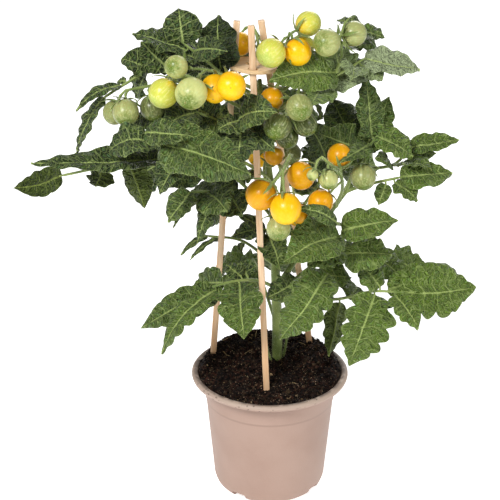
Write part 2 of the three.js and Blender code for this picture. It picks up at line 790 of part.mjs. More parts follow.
// A split stick: rectangular, blunt at the top and pointed in the soil.
function stick(row, extra) {
  const bottom = stickPoint(row, row.bottom - extra);
  const top = stickPoint(row, STICK_TOP + extra);
  const box = new THREE.BoxGeometry(STICK_WIDTH + 2 * extra, STICK_DEPTH + 2 * extra, 1, 1, 1, 2);
  const place = box.getAttribute("position");
  const heights = [0, STICK_POINT, bottom.distanceTo(top)];
  for (let i = 0; i < place.count; i++) {
    const level = Math.round(2 * place.getZ(i) + 1);
    const thinned = level === 0 ? 0.35 : 1;
    place.setXYZ(i, place.getX(i) * thinned, place.getY(i) * thinned, heights[level]);
  }
  const turn = new THREE.Quaternion().setFromUnitVectors(UP, top.clone().sub(bottom).normalize());
  box.applyQuaternion(turn).translate(...bottom.toArray());
  return solidOf(box);
}

function drilledHole(at, direction, radius) {
  const hole = new THREE.CylinderGeometry(radius, radius, 5 * DISC_THICKNESS, 8).rotateX(Math.PI / 2);
  hole.applyQuaternion(new THREE.Quaternion().setFromUnitVectors(UP, direction));
  return solidOf(hole.translate(...at.toArray()));
}

function disc() {
  const tilt = new THREE.Quaternion().setFromAxisAngle(new THREE.Vector3(0, 1, 0), radians(DISC_TILT));
  const plate = new THREE.CylinderGeometry(DISC_RADIUS, DISC_RADIUS, DISC_THICKNESS, 24).rotateX(Math.PI / 2);
  let body = solidOf(plate.applyQuaternion(tilt).translate(...DISC_CENTRE));
  const facing = UP.clone().applyQuaternion(tilt);
  body = body.subtract(drilledHole(vec(DISC_CENTRE), facing, DISC_CENTRE_HOLE_RADIUS));
  for (const row of STICKS) {
    const at = stickPoint(row, DISC_CENTRE[2]);
    const along = stickPoint(row, STICK_TOP).sub(at).normalize();
    body = body.subtract(drilledHole(at, along, DISC_STICK_HOLE_RADIUS));
  }
  return body;
}

// ---------- Stem ----------

function stem(extra) {
  return joined(
    STEMS.map((points, i) => {
      const radii = points.map((p) => p[3] + extra);
      const sides = i === 0 ? 7 : 5;
      return tube(points, radii, sides, points.length + 1);
    }),
  );
}

// ---------- Fruit trusses ----------

function fruitSolid(centre, radius) {
  const ball = new THREE.IcosahedronGeometry(radius, 1);
  return solidOf(ball.translate(...centre.toArray()));
}

// The five corners of a ring round the axis of a fruit, on the rays between its sepals or along them.
function fruitRing(surface, at, polar, distance, count, offset) {
  return Array.from({ length: count }, (_, i) => {
    const angle = ((i + offset) / count) * 2 * Math.PI;
    return surface.corners.push(at(polar, distance, angle)) - 1;
  });
}

// A stalk from an opening to the top of a fruit, with five pointed sepals that reach out over the
// fruit and lift off it. A fused fruit is one surface with them; any other is a solid of its own.
function addFruitStalk(surface, opening, centre, radius, fused, extra) {
  const axis = opening.middle.clone().sub(centre).normalize();
  const turn = new THREE.Quaternion().setFromUnitVectors(UP, axis);
  const at = (polar, distance, angle) => {
    const flat = Math.sin(polar);
    const out = new THREE.Vector3(flat * Math.cos(angle), flat * Math.sin(angle), Math.cos(polar));
    return out.multiplyScalar(distance).applyQuaternion(turn).add(centre);
  };
  const collar = radius + 2 + extra;
  const reach = 0.5 + 3.2 / radius;
  const lift = radius * 1.12 + 1.8;
  const half = SEPAL_THICKNESS / 2 + extra;
  const neck = fruitRing(surface, at, Math.atan((PEDICEL_RADIUS + extra) / collar), collar, 5, 0.5);
  const notchTop = fruitRing(surface, at, 0.27, radius + 0.9 + half, 5, 0.5);
  const notchLow = fruitRing(surface, at, 0.27, radius + 0.9 - half, 5, 0.5);
  const tipTop = fruitRing(surface, at, reach, lift + half, 5, 0);
  const tipLow = fruitRing(surface, at, reach, lift - half, 5, 0);
  addWalls(surface, opening.loop, [...neck].reverse());
  for (let i = 0; i < 5; i++) {
    const before = (i + 4) % 5;
    const after = (i + 1) % 5;
    surface.triangles.push(
      [tipTop[i], notchTop[i], neck[i]],
      [notchTop[i], tipTop[after], neck[i]],
      [tipTop[i], neck[i], neck[before]],
      [notchLow[i], tipLow[i], notchLow[before]],
      [tipTop[i], tipLow[i], notchLow[i]],
      [tipTop[i], notchLow[i], notchTop[i]],
      [notchTop[i], notchLow[i], tipLow[after]],
      [notchTop[i], tipLow[after], tipTop[after]],
    );
  }
  let ring = [...notchLow].reverse();
  if (fused) {
    for (const polar of FUSED_FRUIT_RINGS) {
      const next = fruitRing(surface, at, polar, radius + extra, FUSED_FRUIT_SIDES, 0.5).reverse();
      addWalls(surface, ring, next);
      ring = next;
    }
  }
  const endDistance = fused ? -radius - extra : radius + 0.5 - extra;
  const end = surface.corners.push(centre.clone().addScaledVector(axis, endDistance)) - 1;
  ring.forEach((a, i) => surface.triangles.push([a, ring[(i + 1) % ring.length], end]));
}

function trussSolid(truss, extra) {
  const branches = truss.fruits.map(([at, , place]) => ({ place, towards: vec(at) }));
  const { surface, openings } = stalk(truss.stalk, branches, extra);
  truss.fruits.forEach(([at, radius, , , name], i) => {
    addFruitStalk(surface, openings[i], vec(at), radius, !name, extra);
  });
  return solidOf(geometryOf(surface.corners, surface.triangles));
}

// ---------- Leaves ----------

function outlineFor(length) {
  if (length > 48) return OUTLINES.large;
  return length > 28 ? OUTLINES.medium : OUTLINES.small;
}

// The middle surface of a leaflet as a function of the place along the midrib and across it.
function leafletSurface(base, tip, width, turn, bend) {
  const along = tip.clone().sub(base);
  const length = along.length();
  along.normalize();
  const outward = base.clone().add(tip).setZ(0).normalize();
  const face = UP.clone().addScaledVector(outward, OUTWARD_LEAN).addScaledVector(FRONT, FRONT_LEAN);
  face.addScaledVector(along, -face.dot(along)).normalize().applyAxisAngle(along, radians(turn));
  const across = along.clone().cross(face);
  return (s, reach) => {
    const arch = 4 * s * (1 - s) * bend * length;
    const trough = 0.2 * Math.abs(reach) * (width / 2);
    const wave = 0.07 * width * reach * reach * Math.sin(2 * Math.PI * (2.2 * s + 0.3 * Math.sign(reach)));
    return base
      .clone()
      .addScaledVector(along, s * length)
      .addScaledVector(across, (reach * width) / 2)
      .addScaledVector(face, arch + trough + wave);
  };
}

// Triangles between a leaflet's edge and its rib, two chains of points [place, index] with the same end.
function stripBetween(edge, rib) {
  const triangles = [];
  let [i, j] = [0, 0];
  while (i < edge.length - 1 || j < rib.length - 1) {
    const edgeNext = i < edge.length - 1 ? edge[i + 1][0] : Infinity;
    const ribNext = j < rib.length - 1 ? rib[j + 1][0] : Infinity;
    if (edgeNext <= ribNext) {
      triangles.push([edge[i][1], edge[i + 1][1], rib[j][1]]);
      i += 1;
    } else {
      triangles.push([edge[i][1], rib[j + 1][1], rib[j][1]]);
      j += 1;
    }
  }
  return triangles.filter(([a, b, c]) => a !== b && b !== c && c !== a);
}

// A leaflet from an opening in its stalk: a thin blade, split into the same triangles on both faces.
function addLeaflet(surface, opening, tip, width, turn, bend, extra) {
  const base = opening.middle.clone().addScaledVector(opening.out, PETIOLULE);
  const middle = leafletSurface(base, tip, width, turn, bend);
  const outline = outlineFor(base.distanceTo(tip));
  const places = [[1, 0], ...outline.rib.map((s) => [s, 0])];
  const edgeOf = (sign) => outline.edge.map(([s, reach]) => [s, places.push([s, sign * reach]) - 1]);
  const [right, left] = [edgeOf(1), edgeOf(-1)];
  const rib = [...outline.rib.map((s, i) => [s, 1 + i]), [1, 0]];
  const face = [
    [left[0][1], right[0][1], rib[0][1]],
    ...stripBetween([...right, [1, 0]], rib),
    ...stripBetween([...left, [1, 0]], rib).map(([a, b, c]) => [a, c, b]),
  ];
  const first = surface.corners.length;
  const under = first + places.length;
  const step = 0.02;
  for (const half of [0.5, -0.5]) {
    for (const [s, reach] of places) {
      const lengthwise = middle(s + step, reach).sub(middle(s - step, reach));
      const crosswise = middle(s, reach + step).sub(middle(s, reach - step));
      const normal = crosswise.cross(lengthwise).normalize();
      const corner = middle(s, reach * (1 + (2 * extra) / width));
      surface.corners.push(corner.addScaledVector(normal, half * (BLADE_THICKNESS + 2 * extra)));
    }
  }
  for (const [a, b, c] of face) {
    surface.triangles.push([first + a, first + b, first + c], [under + a, under + c, under + b]);
  }
  const rim = [...right.map((p) => p[1]), 0, ...left.map((p) => p[1]).reverse()];
  for (let i = 0; i < rim.length - 1; i++) {
    const [a, b] = [rim[i], rim[i + 1]];
    surface.triangles.push([first + b, first + a, under + a], [first + b, under + a, under + b]);
  }
  const [l, r] = [left[0][1], right[0][1]];
  addWalls(surface, opening.loop, [first + l, first + r, under + r, under + l]);
}

function leafSolid(leaf, extra) {
  const branches = leaf.leaflets.map(([place, tip]) => ({ place, towards: vec(tip) }));
  const { surface, openings } = stalk(leaf.stalk, branches, extra);
  leaf.leaflets.forEach(([, tip, width, turn, bend = 0.08], i) => {
    addLeaflet(surface, openings[i], vec(tip), width, turn, bend, extra);
  });
  return solidOf(geometryOf(surface.corners, surface.triangles));
}

// ---------- Assembly ----------

const plant = new THREE.Group();
const placed = []; // pieces made so far, each with the space that later ones leave free

function boxesTouch(a, b) {
  const [p, q] = [a.boundingBox(), b.boundingBox()];
  return [0, 1, 2].every((k) => p.min[k] <= q.max[k] && q.min[k] <= p.max[k]);
}

function place(name, solid, room, colour, roughness) {
  let piece = solid;
  for (const other of placed) {
    if (boxesTouch(piece, other)) piece = piece.subtract(other);
  }
  placed.push(room);
  plant.add(meshOf(name, largestBody(piece), colour, roughness));
}

const stickRooms = STICKS.map((row) => stick(row, GAP));
const stemRoom = stem(GAP);
plant.add(meshOf("pot", pot(), COLOURS.pot, 0.6));
plant.add(meshOf("soil", largestBody(soil([...stickRooms, stemRoom])), COLOURS.soil, 1));
plant.add(meshOf("stick_disc", disc(), COLOURS.wood, 0.7));
STICKS.forEach((row, i) => {
  plant.add(meshOf(row.name, stick(row, 0), COLOURS.wood, 0.7));
  placed.push(stickRooms[i]);
});
plant.add(meshOf("plant_stem", stem(0), COLOURS.stem, 0.6));
placed.push(stemRoom);

for (const truss of TRUSSES) {
  for (const [at, radius, , colour, name] of truss.fruits) {
    if (!name) continue;
    place(name, fruitSolid(vec(at), radius), fruitSolid(vec(at), radius + GAP), COLOURS[colour], 0.3);
  }
}
for (const truss of TRUSSES) {
  place(truss.name, trussSolid(truss, 0), trussSolid(truss, GAP), COLOURS.green, 0.5);
}
for (const leaf of LEAVES) {
  place(leaf.name, leafSolid(leaf, 0), leafSolid(leaf, GAP), COLOURS.leaf, 0.65);
}

export default plant;
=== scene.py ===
"""A cherry tomato plant in a grow pot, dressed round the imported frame.

Lengths are millimetres in the same frame as the solids until a mesh is made, which turns them to metres.
Each solid is replaced by one finer piece of the same form: lobed and veined leaflets, hairy stalks,
fruit with calyxes, a moulded pot, crumbly soil and split wooden sticks.
"""

import math

import bpy
import numpy as np
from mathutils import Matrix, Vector, noise


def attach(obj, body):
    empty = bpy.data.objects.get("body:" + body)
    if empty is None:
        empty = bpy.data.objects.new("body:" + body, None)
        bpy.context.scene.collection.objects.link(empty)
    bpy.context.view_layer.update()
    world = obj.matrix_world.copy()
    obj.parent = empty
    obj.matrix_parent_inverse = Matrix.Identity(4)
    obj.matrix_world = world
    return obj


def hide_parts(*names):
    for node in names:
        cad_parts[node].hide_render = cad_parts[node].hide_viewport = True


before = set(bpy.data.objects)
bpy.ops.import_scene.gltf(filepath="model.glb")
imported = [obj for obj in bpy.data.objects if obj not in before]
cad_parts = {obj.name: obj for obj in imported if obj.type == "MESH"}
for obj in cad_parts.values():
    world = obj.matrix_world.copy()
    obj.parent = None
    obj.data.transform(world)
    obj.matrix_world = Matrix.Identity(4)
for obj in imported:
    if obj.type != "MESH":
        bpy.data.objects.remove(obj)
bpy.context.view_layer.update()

# ---------- Driving dimensions, the same as the solids' ----------

MM = 0.001
POT_HEIGHT = 104
POT_RIM_RADIUS = 65
POT_LIP_INNER_RADIUS = 59.3
POT_BODY_RADIUS = 55
POT_STEP_HEIGHT = 80
POT_FOOT_RADIUS = 46.5
POT_FOOT_HEIGHT = 8
POT_BASE_RADIUS = 41.5
POT_WALL = 1.3
NOTCH_COUNT = 4
NOTCH_FIRST_ANGLE = -125
NOTCH_WIDTH = 13
NOTCH_HEIGHT = 6.2
NOTCH_INNER_RADIUS = 34
DRAIN_HOLE_RADIUS = 2.5

SOIL_LEVEL = 101
SOIL_MOUND = 12
SOIL_EDGE_LEVEL = 104.5
SOIL_CRUMBS = 3000
SOIL_FIBRES = 38

STICK_WIDTH = 5
STICK_DEPTH = 4.2
STICK_TOP = 398
STICK_POINT = 12
DISC_CENTRE = np.array([-14.5, 0, 364])
DISC_RADIUS = 19
DISC_THICKNESS = 3
DISC_TILT = 5
DISC_CENTRE_HOLE_RADIUS = 5.6
DISC_STICK_HOLE_RADIUS = 3.6

BLADE_THICKNESS = 0.45
STALK_RADII = (1.5, 1.0)
PEDICEL_RADIUS = 0.85
PETIOLULE = 2.0
OUTWARD_LEAN = 0.5
FRONT_LEAN = 0.65

# ---------- Only in the finer pieces ----------

CREASE = 60  # edges sharper than this many degrees stay sharp in the shading
LONG_LEAFLET = 48  # leaflets over these two lengths have more side veins and a finer grid
MIDDLE_LEAFLET = 28
DEEPLY_LOBED_BELOW = 230  # leaflets whose tips hang lower than this have deeper lobes
CROWN_AXIS = (-12, 10)
CROWN_SHADE_RADIUS = 62  # leaves get more painted shade the nearer they are to the crown's axis, within this radius
GREY_SHEEN_LEAF = "leaf_top_right"  # the one under the highest fruit, with a painted greyish sheen

# Half of a leaflet's margin along its midrib: the reach as a part of the half width, and how far
# that margin lies ahead of the midrib's point, as a part of the length.
MARGIN_PLACES = (0, 0.04, 0.10, 0.18, 0.30, 0.45, 0.60, 0.75, 0.88, 1)
MARGIN_REACH = (0.03, 0.36, 0.72, 0.93, 1.0, 0.93, 0.75, 0.48, 0.22, 0.012)
MARGIN_AHEAD = (0, -0.045, -0.055, -0.01, 0.05, 0.09, 0.10, 0.075, 0.035, 0)

# Skin colours of the fruit: body, shoulder, blossom end, flecks, how flecked it is, how far down the
# shoulder's colour spreads and, for unripe fruit, the palest body. Colours are given as they show, to 255.
FRUIT_SKINS = {
    "green": ((34, 54, 0), (30, 48, 0), (90, 112, 28), (206, 214, 150), 0.45, 0.3, (198, 202, 128)),
    "turning": ((200, 200, 76), (244, 200, 44), (178, 194, 92), (238, 232, 160), 0.5, 0.5),
    "yellow": ((244, 184, 0), (226, 156, 0), (250, 198, 4), (255, 222, 90), 0.2, 0.3),
    "orange": ((218, 154, 0), (200, 130, 0), (234, 172, 0), (255, 206, 70), 0.2, 0.3),
}

CAMERA_AT = (-0.0164, -1.0556, 0.6747)
CAMERA_PITCH = 23.7
CAMERA_LENS = 103.68
WORLD_LIGHT = 0.27
KEY_LIGHT = 23
FILL_LIGHT = 6
BACK_LIGHT = 7
FLOOR_GLOW = 0.72

UP = np.array([0.0, 0.0, 1.0])
FRONT = np.array([0.0, -1.0, 0.0])
TURN = 2 * math.pi

# ---------- The plant's layout, the same as the solids' ----------

# A stick is its name, a point at the soil, a point in the disc and the height of its lower end.
# A stem's points are (x, y, z, radius). A truss or a leaf is its name, its stalk's points and what it bears.
# A fruit is (centre, radius, place along the stalk, ...), with its colour and name if it is ripening,
# or how pale it is, from 0 to 1, if it is green and one with the truss.
# A leaflet is (place along the stalk, tip, width, turn, bend).

STICKS = [
    ("stick_front", (-3, -31.3, 101), (-14.2, -13.5), 16),
    ("stick_left", (-47, 14.5, 112.5), (-28.7, 3.5), 94.5),
    ("stick_right", (34, 31.5, 113), (-3, 7), 93.5),
]

STEMS = [
    [(6.2, 7, 50, 3.4), (6.2, 7, 108, 4.4), (6, 5, 140, 4.2), (4, 4, 195, 3.6), (1, 3, 255, 3),
     (-6, 0, 315, 2.2), (-9, -1, 353, 1.6)],
    [(5, 4.5, 174, 2.6), (24, 9, 205, 2.5), (42, 8, 232, 2.3), (61, 4, 262, 1.8), (79, 9, 278, 1.3)],
    [(8.5, 7.5, 100, 1.3), (13.5, 7, 124, 1.1), (14, 6, 142, 0.8)],
    [(4, 6, 100, 1.2), (-3, 0, 126, 0.9), (-3, -1, 138, 0.7)],
]

TRUSSES = [
    ("truss_top_left", [(-9, -1, 344), (-30, -16, 358), (-47, -26, 368), (-62, -28, 370)], [
        ((-70, -44, 376), 8.8, 1, 0.78), ((-80, -41, 355), 11.2, 1, "turning", "fruit_top_left_outer"),
        ((-59, -54, 359), 12, 0.8, 0.95), ((-42, -36, 357), 10.8, 0.64, "yellow", "fruit_top_left_middle"),
        ((-30, -52, 364), 11, 0.42, "yellow", "fruit_top_left_inner")]),
    ("truss_left", [(-65, -3.4, 355), (-84, -11, 353), (-110, -18, 350)], [
        ((-109, -31, 337), 10.1, 0.95, 0.56), ((-119, -13, 331), 9.4, 1, 0.46),
        ((-90, -20, 337), 9.6, 0.6, 0.2)]),
    ("truss_top", [(-8, -1, 336), (6, -3, 352), (9, -8, 374), (13, -13, 393)], [
        ((-1, -29, 382), 11, 0.95, "turning", "fruit_top_front"),
        ((19, -19, 380), 10.3, 1, "yellow", "fruit_top_middle"),
        ((23, 3, 378), 9.4, 0.8, "turning", "fruit_top_rear"),
        ((27, -6, 398), 9.6, 0.95, "turning", "fruit_top_high"),
        ((0, -18, 343), 9, 0.35, "orange", "fruit_under_disc")]),
    ("truss_top_right", [(48.8, -10.2, 362), (52, -13, 377), (50, -14, 391)], [
        ((40, -26, 389), 10.3, 0.95, 0.64), ((61, -8, 391), 9.7, 1, 0.6)]),
    ("truss_centre", [(-6, -1, 316), (4, -10, 330), (12, -20, 338), (18, -28, 347)], [
        ((20, -41, 344), 10.3, 1, 0.45), ((4, -36, 328), 10.7, 0.75, 0.16), ((25, -26, 326), 9.4, 0.8, 0.1),
        ((12, -21, 314), 8.8, 0.45, 0.1)]),
    ("truss_low", [(0.4, 3, 265), (9, -12, 286), (14, -30, 303), (8, -57, 300)], [
        ((-8, -56, 281), 11.8, 1, "orange", "fruit_low_left"),
        ((10, -74, 277), 11.7, 1, "yellow", "fruit_low_front"), ((5, -57, 254), 9.4, 0.3, 0.62),
        ((22, -40, 290), 10.7, 0.6, "orange", "fruit_low_rear"),
        ((20, -45, 260), 8.6, 0.45, "orange", "fruit_low_under"),
        ((2, -15, 297), 7.6, 0.25, "orange", "fruit_low_inner")]),
    ("truss_right_inner", [(52, 6, 247), (55, -16, 270), (50, -40, 293), (37, -48, 308)], [
        ((42, -54, 292), 7.3, 0.9, 0.78), ((30, -57, 297), 4.4, 1, 0.92),
        ((37, -44, 270), 9.8, 0.55, "orange", "fruit_right_inner"),
        ((52, -18, 298), 9.4, 0.6, "orange", "fruit_right_rear")]),
    ("truss_right", [(60, 4, 260), (64, -2, 278), (72, -6, 293)], [
        ((71, -16, 279.5), 10, 1, 0.45)]),
    ("truss_back_top", [(-9, -1, 343), (-14, 20, 352), (-10, 34, 372), (-14, 42, 384)], [
        ((-24, 23, 374.5), 9.2, 0.7, "yellow", "fruit_back_top"), ((-32, 48, 368), 10, 1, 0.4),
        ((2, 52, 352), 10.4, 0.95, "turning", "fruit_back_right")]),
    ("truss_back_low", [(1.2, 3, 252), (-5, 30, 268), (2, 56, 284)], [
        ((-8, 68, 268), 11, 1, "yellow", "fruit_back_low"), ((16, 64, 270), 10, 1, 0.4)]),
]

LEAVES = [
    ("leaf_left_mid", [
        (-0.6, 2.3, 272), (-26, -24, 297), (-56, -44, 311), (-78, -54, 316), (-92, -50, 326)], [
        (0.9, (-16, -84, 308), 42, -8, 0.01), (1, (-58, -63, 329), 23, 0, 0.12),
        (0.72, (-83, -70, 287), 24, 0), (0.98, (-121, -46, 311), 28, 10, 0.2),
        (0.55, (-62, -20, 322), 30, 0)]),
    ("leaf_lower_left", [(4.7, 4.3, 176), (-10, -8, 188), (-29, -22, 194), (-46, -28, 192)], [
        (0.66, (-21, -54, 159), 38, -10, 0.14), (0.97, (-103, -37, 160), 28, -25, 0.03),
        (0.97, (-86, -51, 144), 22, 0, 0.2), (0.86, (-60, 2, 180), 28, 0), (0.5, (-24, -2, 202), 21, 0),
        (0.6, (-35, -13, 204), 18, 20)]),
    ("leaf_lower_centre", [(5.4, 4.7, 158), (16, 2, 180), (30, -18, 196), (43, -33, 205)], [
        (1, (7, -55, 159), 38, 8, 0.12), (0.55, (-3, -24, 180), 24, 0), (0.85, (64, -20, 196), 24, 0)]),
    ("leaf_lower_right", [(5.2, 4.6, 163), (30, 2, 168), (54, -15, 175), (81, -30, 189), (101, -34, 190)], [
        (0.82, (61, -59, 138), 42, 6, 0.1), (0.52, (47, -34, 133), 22, 170),
        (1, (158, -50, 202), 44, 14, -0.07), (0.92, (156, 6, 185), 30, 0, 0.2), (0.6, (70, 8, 176), 30, 0),
        (0.97, (114, -60, 171), 24, 0), (0.86, (70, -20, 208), 24, 0)]),
    ("leaf_right_mid", [(4.1, 4, 196), (36, -4, 208), (55, -26, 220), (54, -41, 244)], [
        (1, (96, -46, 256), 28, 0, 0.1), (0.97, (9, -67, 231), 38, 0, 0.14), (0.85, (27, -60, 224), 30, 0),
        (0.7, (94, -31, 221), 34, 0), (0.55, (62, 12, 214), 30, 0)]),
    ("leaf_over_fruit", [(42, 8, 232), (55, -18, 241), (49, -51, 256)], [
        (1, (17, -67, 275), 15, 0, 0.14), (0.6, (66, -34, 240), 16, 0)]),
    ("leaf_far_left", [(-3.5, 1.2, 296), (-45, -12, 294), (-100, -23, 296), (-158, -28, 286)], [
        (0.5, (-178, -58, 306), 26, 12, 0.01), (1, (-197, -30, 276), 23, 155, 0.12),
        (0.82, (-134, -34, 279), 28, 180), (0.68, (-97, -34, 261), 23, 180), (0.72, (-130, 14, 284), 22, 0)]),
    ("leaf_left_shoot", [
        (-6, -1, 322), (-34, -4, 338), (-62, 0, 355), (-92, 1, 359), (-112, -3, 350), (-126, -8, 342)], [
        (0.9, (-147, -24, 336), 11, 0, 0.12), (1, (-151, -6, 295), 16, 0, 0.09),
        (0.72, (-113, -6, 371), 25, 0), (0.62, (-99, 6, 381), 25, 0), (0.55, (-72, 20, 364), 30, 0),
        (0.86, (-118, 4, 350), 8, 0), (0.5, (-80, -16, 356), 21, 0), (0.75, (-103, 6, 336), 22, 0)]),
    ("leaf_top_left", [(-8, -1, 338), (-30, -3, 352), (-48, -5, 368), (-65, -6, 382)], [
        (0.95, (-104, -8, 391), 26, 20, 0.06), (1, (-70, 4, 407), 30, 30, 0.14),
        (0.55, (-40, 8, 401), 38, 0, 0.12), (0.88, (-33, -28, 383), 22, 15, 0.1),
        (0.45, (-64, 26, 362), 32, 0), (0.79, (-83, -3, 378), 22, 10)]),
    ("leaf_left_under", [(1.5, 3.2, 246), (-16, -2, 258), (-38, -20, 269), (-60, -28, 272)], [
        (1, (-79, -38, 251), 24, 0), (0.75, (-57, -36, 233), 16, 0), (0.6, (-22, -36, 256), 30, 0),
        (0.85, (-34, -50, 266), 34, 0), (0.8, (-64, 4, 259), 24, 10), (0.85, (-75, -42, 248), 18, 40),
        (0.45, (-52, 14, 261), 26, 0)]),
    ("leaf_left_small", [(4, 4, 196), (-24, 32, 206), (-50, 36, 208)], [
        (1, (-74, 36, 191), 8, 0), (0.85, (-56, 48, 192), 8, 0), (0.6, (-24, 46, 190), 9, 0),
        (0.95, (-66, 32, 188), 8, 0)]),
    ("leaf_left_inner", [(-4, 1, 304), (-30, -12, 320), (-54, -24, 334)], [
        (1, (-80, -38, 328), 30, 0), (0.9, (-32, -34, 328), 28, 0), (0.8, (-70, -6, 340), 28, 0),
        (0.6, (-46, -30, 306), 28, 0), (1, (-111, -6, 319), 30, 0)]),
    ("leaf_centre_low", [(3.3, 3.7, 212), (-1, 2, 222), (-4, -8, 232)], [
        (1, (-31, -7, 226), 20, 0), (0.9, (7, -38, 211), 25, 0), (0.93, (-26, -16, 248), 18, 25),
        (0.7, (18, -10, 232), 21, 0)]),
    ("leaf_centre_upper", [(-5, 0, 311), (-21, -14, 322), (-24, -34, 333)], [
        (1, (2, -50, 344), 30, 0, 0.14), (0.95, (-40, -44, 328), 23, 0), (0.7, (-26, -48, 302), 30, 0),
        (0.55, (2, -46, 312), 25, 0)]),
    ("leaf_top_right", [(-6, 0, 324), (18, -6, 340), (45, -10, 357), (68, -6, 370)], [
        (0.6, (28, -42, 346), 26, 0), (0.75, (-2, -31, 362), 36, 0, 0.08),
        (0.9, (59, -36, 365), 24, 0, 0.12), (1, (111, -14, 365), 26, 0, 0.02), (0.6, (80, 22, 360), 28, 0),
        (0.8, (47, 4, 377), 30, 0), (0.97, (83, -17, 358), 22, 0)]),
    ("leaf_right_star", [(59, 6, 260), (69, 8, 284), (81, 5, 304)], [
        (0.97, (73, 18, 349), 25, 0, 0.04), (1, (110, -4, 292), 26, 0), (0.6, (48, 44, 325), 38, -30),
        (0.86, (51, -32, 297), 15, 0, 0.1), (0.7, (37, -8, 312), 32, -25, 0.06),
        (0.7, (93, 30, 330), 26, 0)]),
    ("leaf_right_upper", [(78, 9, 277), (98, 15, 279), (109, 16, 291)], [
        (1, (147, 10, 301), 19, 0, 0.03), (0.6, (123, -14, 286), 24, 0), (0.9, (124, 36, 288), 23, 0),
        (0.9, (131, 20, 286), 15, 0), (0.45, (81, -6, 292), 16, 0)]),
    ("leaf_right_small", [(61, 4, 261), (78, 0, 268), (99, -5, 275)], [
        (1, (142, 0, 277), 24, 0, 0.05), (0.75, (84, -12, 255), 14, 0), (0.92, (114, -14, 259), 21, 0)]),
    ("leaf_top_back_right", [(-7, 1, 331), (8, 4, 342), (28, 14, 356), (66, 16, 385)], [
        (1, (50, 20, 394), 21, 0), (0.8, (56, 46, 368), 34, 0), (0.6, (22, 46, 350), 34, 0),
        (0.95, (80, 36, 374), 28, 0), (1, (86, 12, 382), 18, 0), (0.35, (40, 30, 311), 28, 0)]),
    ("leaf_back_upper_left", [(-9, 0, 347), (-20, 20, 356), (-42, 44, 362), (-72, 64, 362)], [
        (1, (-110, 78, 344), 39, 0, 0.12), (0.8, (-56, 88, 344), 34, 0), (0.75, (-84, 34, 356), 34, 0),
        (0.5, (-24, 72, 340), 30, 0)]),
    ("leaf_back_left", [(2, 3.3, 238), (-26, 44, 254), (-52, 68, 262), (-82, 84, 258)], [
        (1, (-120, 98, 234), 44, -40, 0.12), (0.8, (-58, 112, 240), 39, 0), (0.75, (-96, 50, 248), 39, -40),
        (0.5, (-20, 88, 238), 34, 0), (0.45, (-53, 50, 209), 26, -30)]),
    ("leaf_back_centre", [(-2.8, 1.4, 290), (-10, 34, 306), (-4, 64, 314), (6, 90, 312)], [
        (1, (14, 128, 290), 44, 0, 0.12), (0.8, (-34, 108, 296), 39, 0), (0.6, (42, 84, 294), 39, 40),
        (0.55, (-44, 66, 300), 32, -40)]),
    ("leaf_back_right", [(2.9, 3.6, 220), (26, 18, 242), (44, 48, 256), (58, 74, 258)], [
        (1, (92, 94, 246), 36, 40, 0.12), (0.8, (34, 84, 274), 36, 0), (0.75, (76, 38, 256), 32, 0),
        (0.5, (14, 78, 246), 30, 0), (0.8, (29, 48, 303), 38, -45)]),
    ("leaf_back_low", [(6, 5, 140), (-6, 50, 160), (-12, 76, 166), (-16, 96, 162)], [
        (1, (-20, 124, 132), 44, 0, 0.14), (0.8, (-54, 100, 142), 39, 0), (0.75, (28, 100, 146), 39, 0),
        (0.5, (-44, 66, 154), 30, 0)]),
    ("leaf_right_low", [(5, 4.5, 170), (44, 30, 190), (76, 38, 196), (100, 42, 190)], [
        (1, (134, 48, 160), 34, 0, 0.02), (0.8, (98, 80, 170), 37, 0), (0.7, (54, 70, 172), 34, 0),
        (0.8, (110, 10, 176), 30, 0)]),
]


# ---------- Vectors and curves ----------

def unit(v):
    return v / np.linalg.norm(v)


def across_from(direction):
    """Two unit vectors at right angles to a direction and to each other."""
    lean = np.array([1.0, 0, 0]) if abs(direction[2]) > 0.9 else UP
    first = unit(np.cross(direction, lean))
    return first, np.cross(direction, first)


def lengths_along(points):
    """How far along a chain each of its points lies."""
    steps = np.linalg.norm(np.diff(points, axis=0), axis=1)
    return np.concatenate([[0], np.cumsum(steps)])


def point_at(place, places, points):
    """The point or points at a place along a chain, from the places of the chain's own points."""
    return np.stack([np.interp(place, places, points[:, k]) for k in range(3)], axis=-1)


class Curve:
    """A centripetal Catmull-Rom curve through points, measured by its length from 0 to 1."""

    SAMPLES = 40

    def __init__(self, points):
        p = np.array(points, float)
        p = np.vstack([2 * p[0] - p[1], p, 2 * p[-1] - p[-2]])
        spans = [self.span(p[i:i + 4]) for i in range(len(p) - 3)]
        self.points = np.vstack(spans + [p[-2:-1]])
        along = lengths_along(self.points)
        self.length = along[-1]
        self.places = along / self.length

    def span(self, p):
        knots = np.cumsum([0] + [np.linalg.norm(step) ** 0.5 for step in np.diff(p, axis=0)])
        t = np.linspace(knots[1], knots[2], self.SAMPLES, endpoint=False)[:, None]

        def blend(low, high, a, b):
            share = (t - knots[low]) / (knots[high] - knots[low])
            return (1 - share) * a + share * b

        lines = [blend(i, i + 1, p[i], p[i + 1]) for i in range(3)]
        bows = [blend(i, i + 2, lines[i], lines[i + 1]) for i in range(2)]
        return blend(1, 2, *bows)

    def at(self, place):
        return point_at(place, self.places, self.points)

    def heading(self, place):
        low, high = max(place - 0.01, 0), min(place + 0.01, 1)
        return unit(self.at(high) - self.at(low))


# ---------- Making pieces ----------

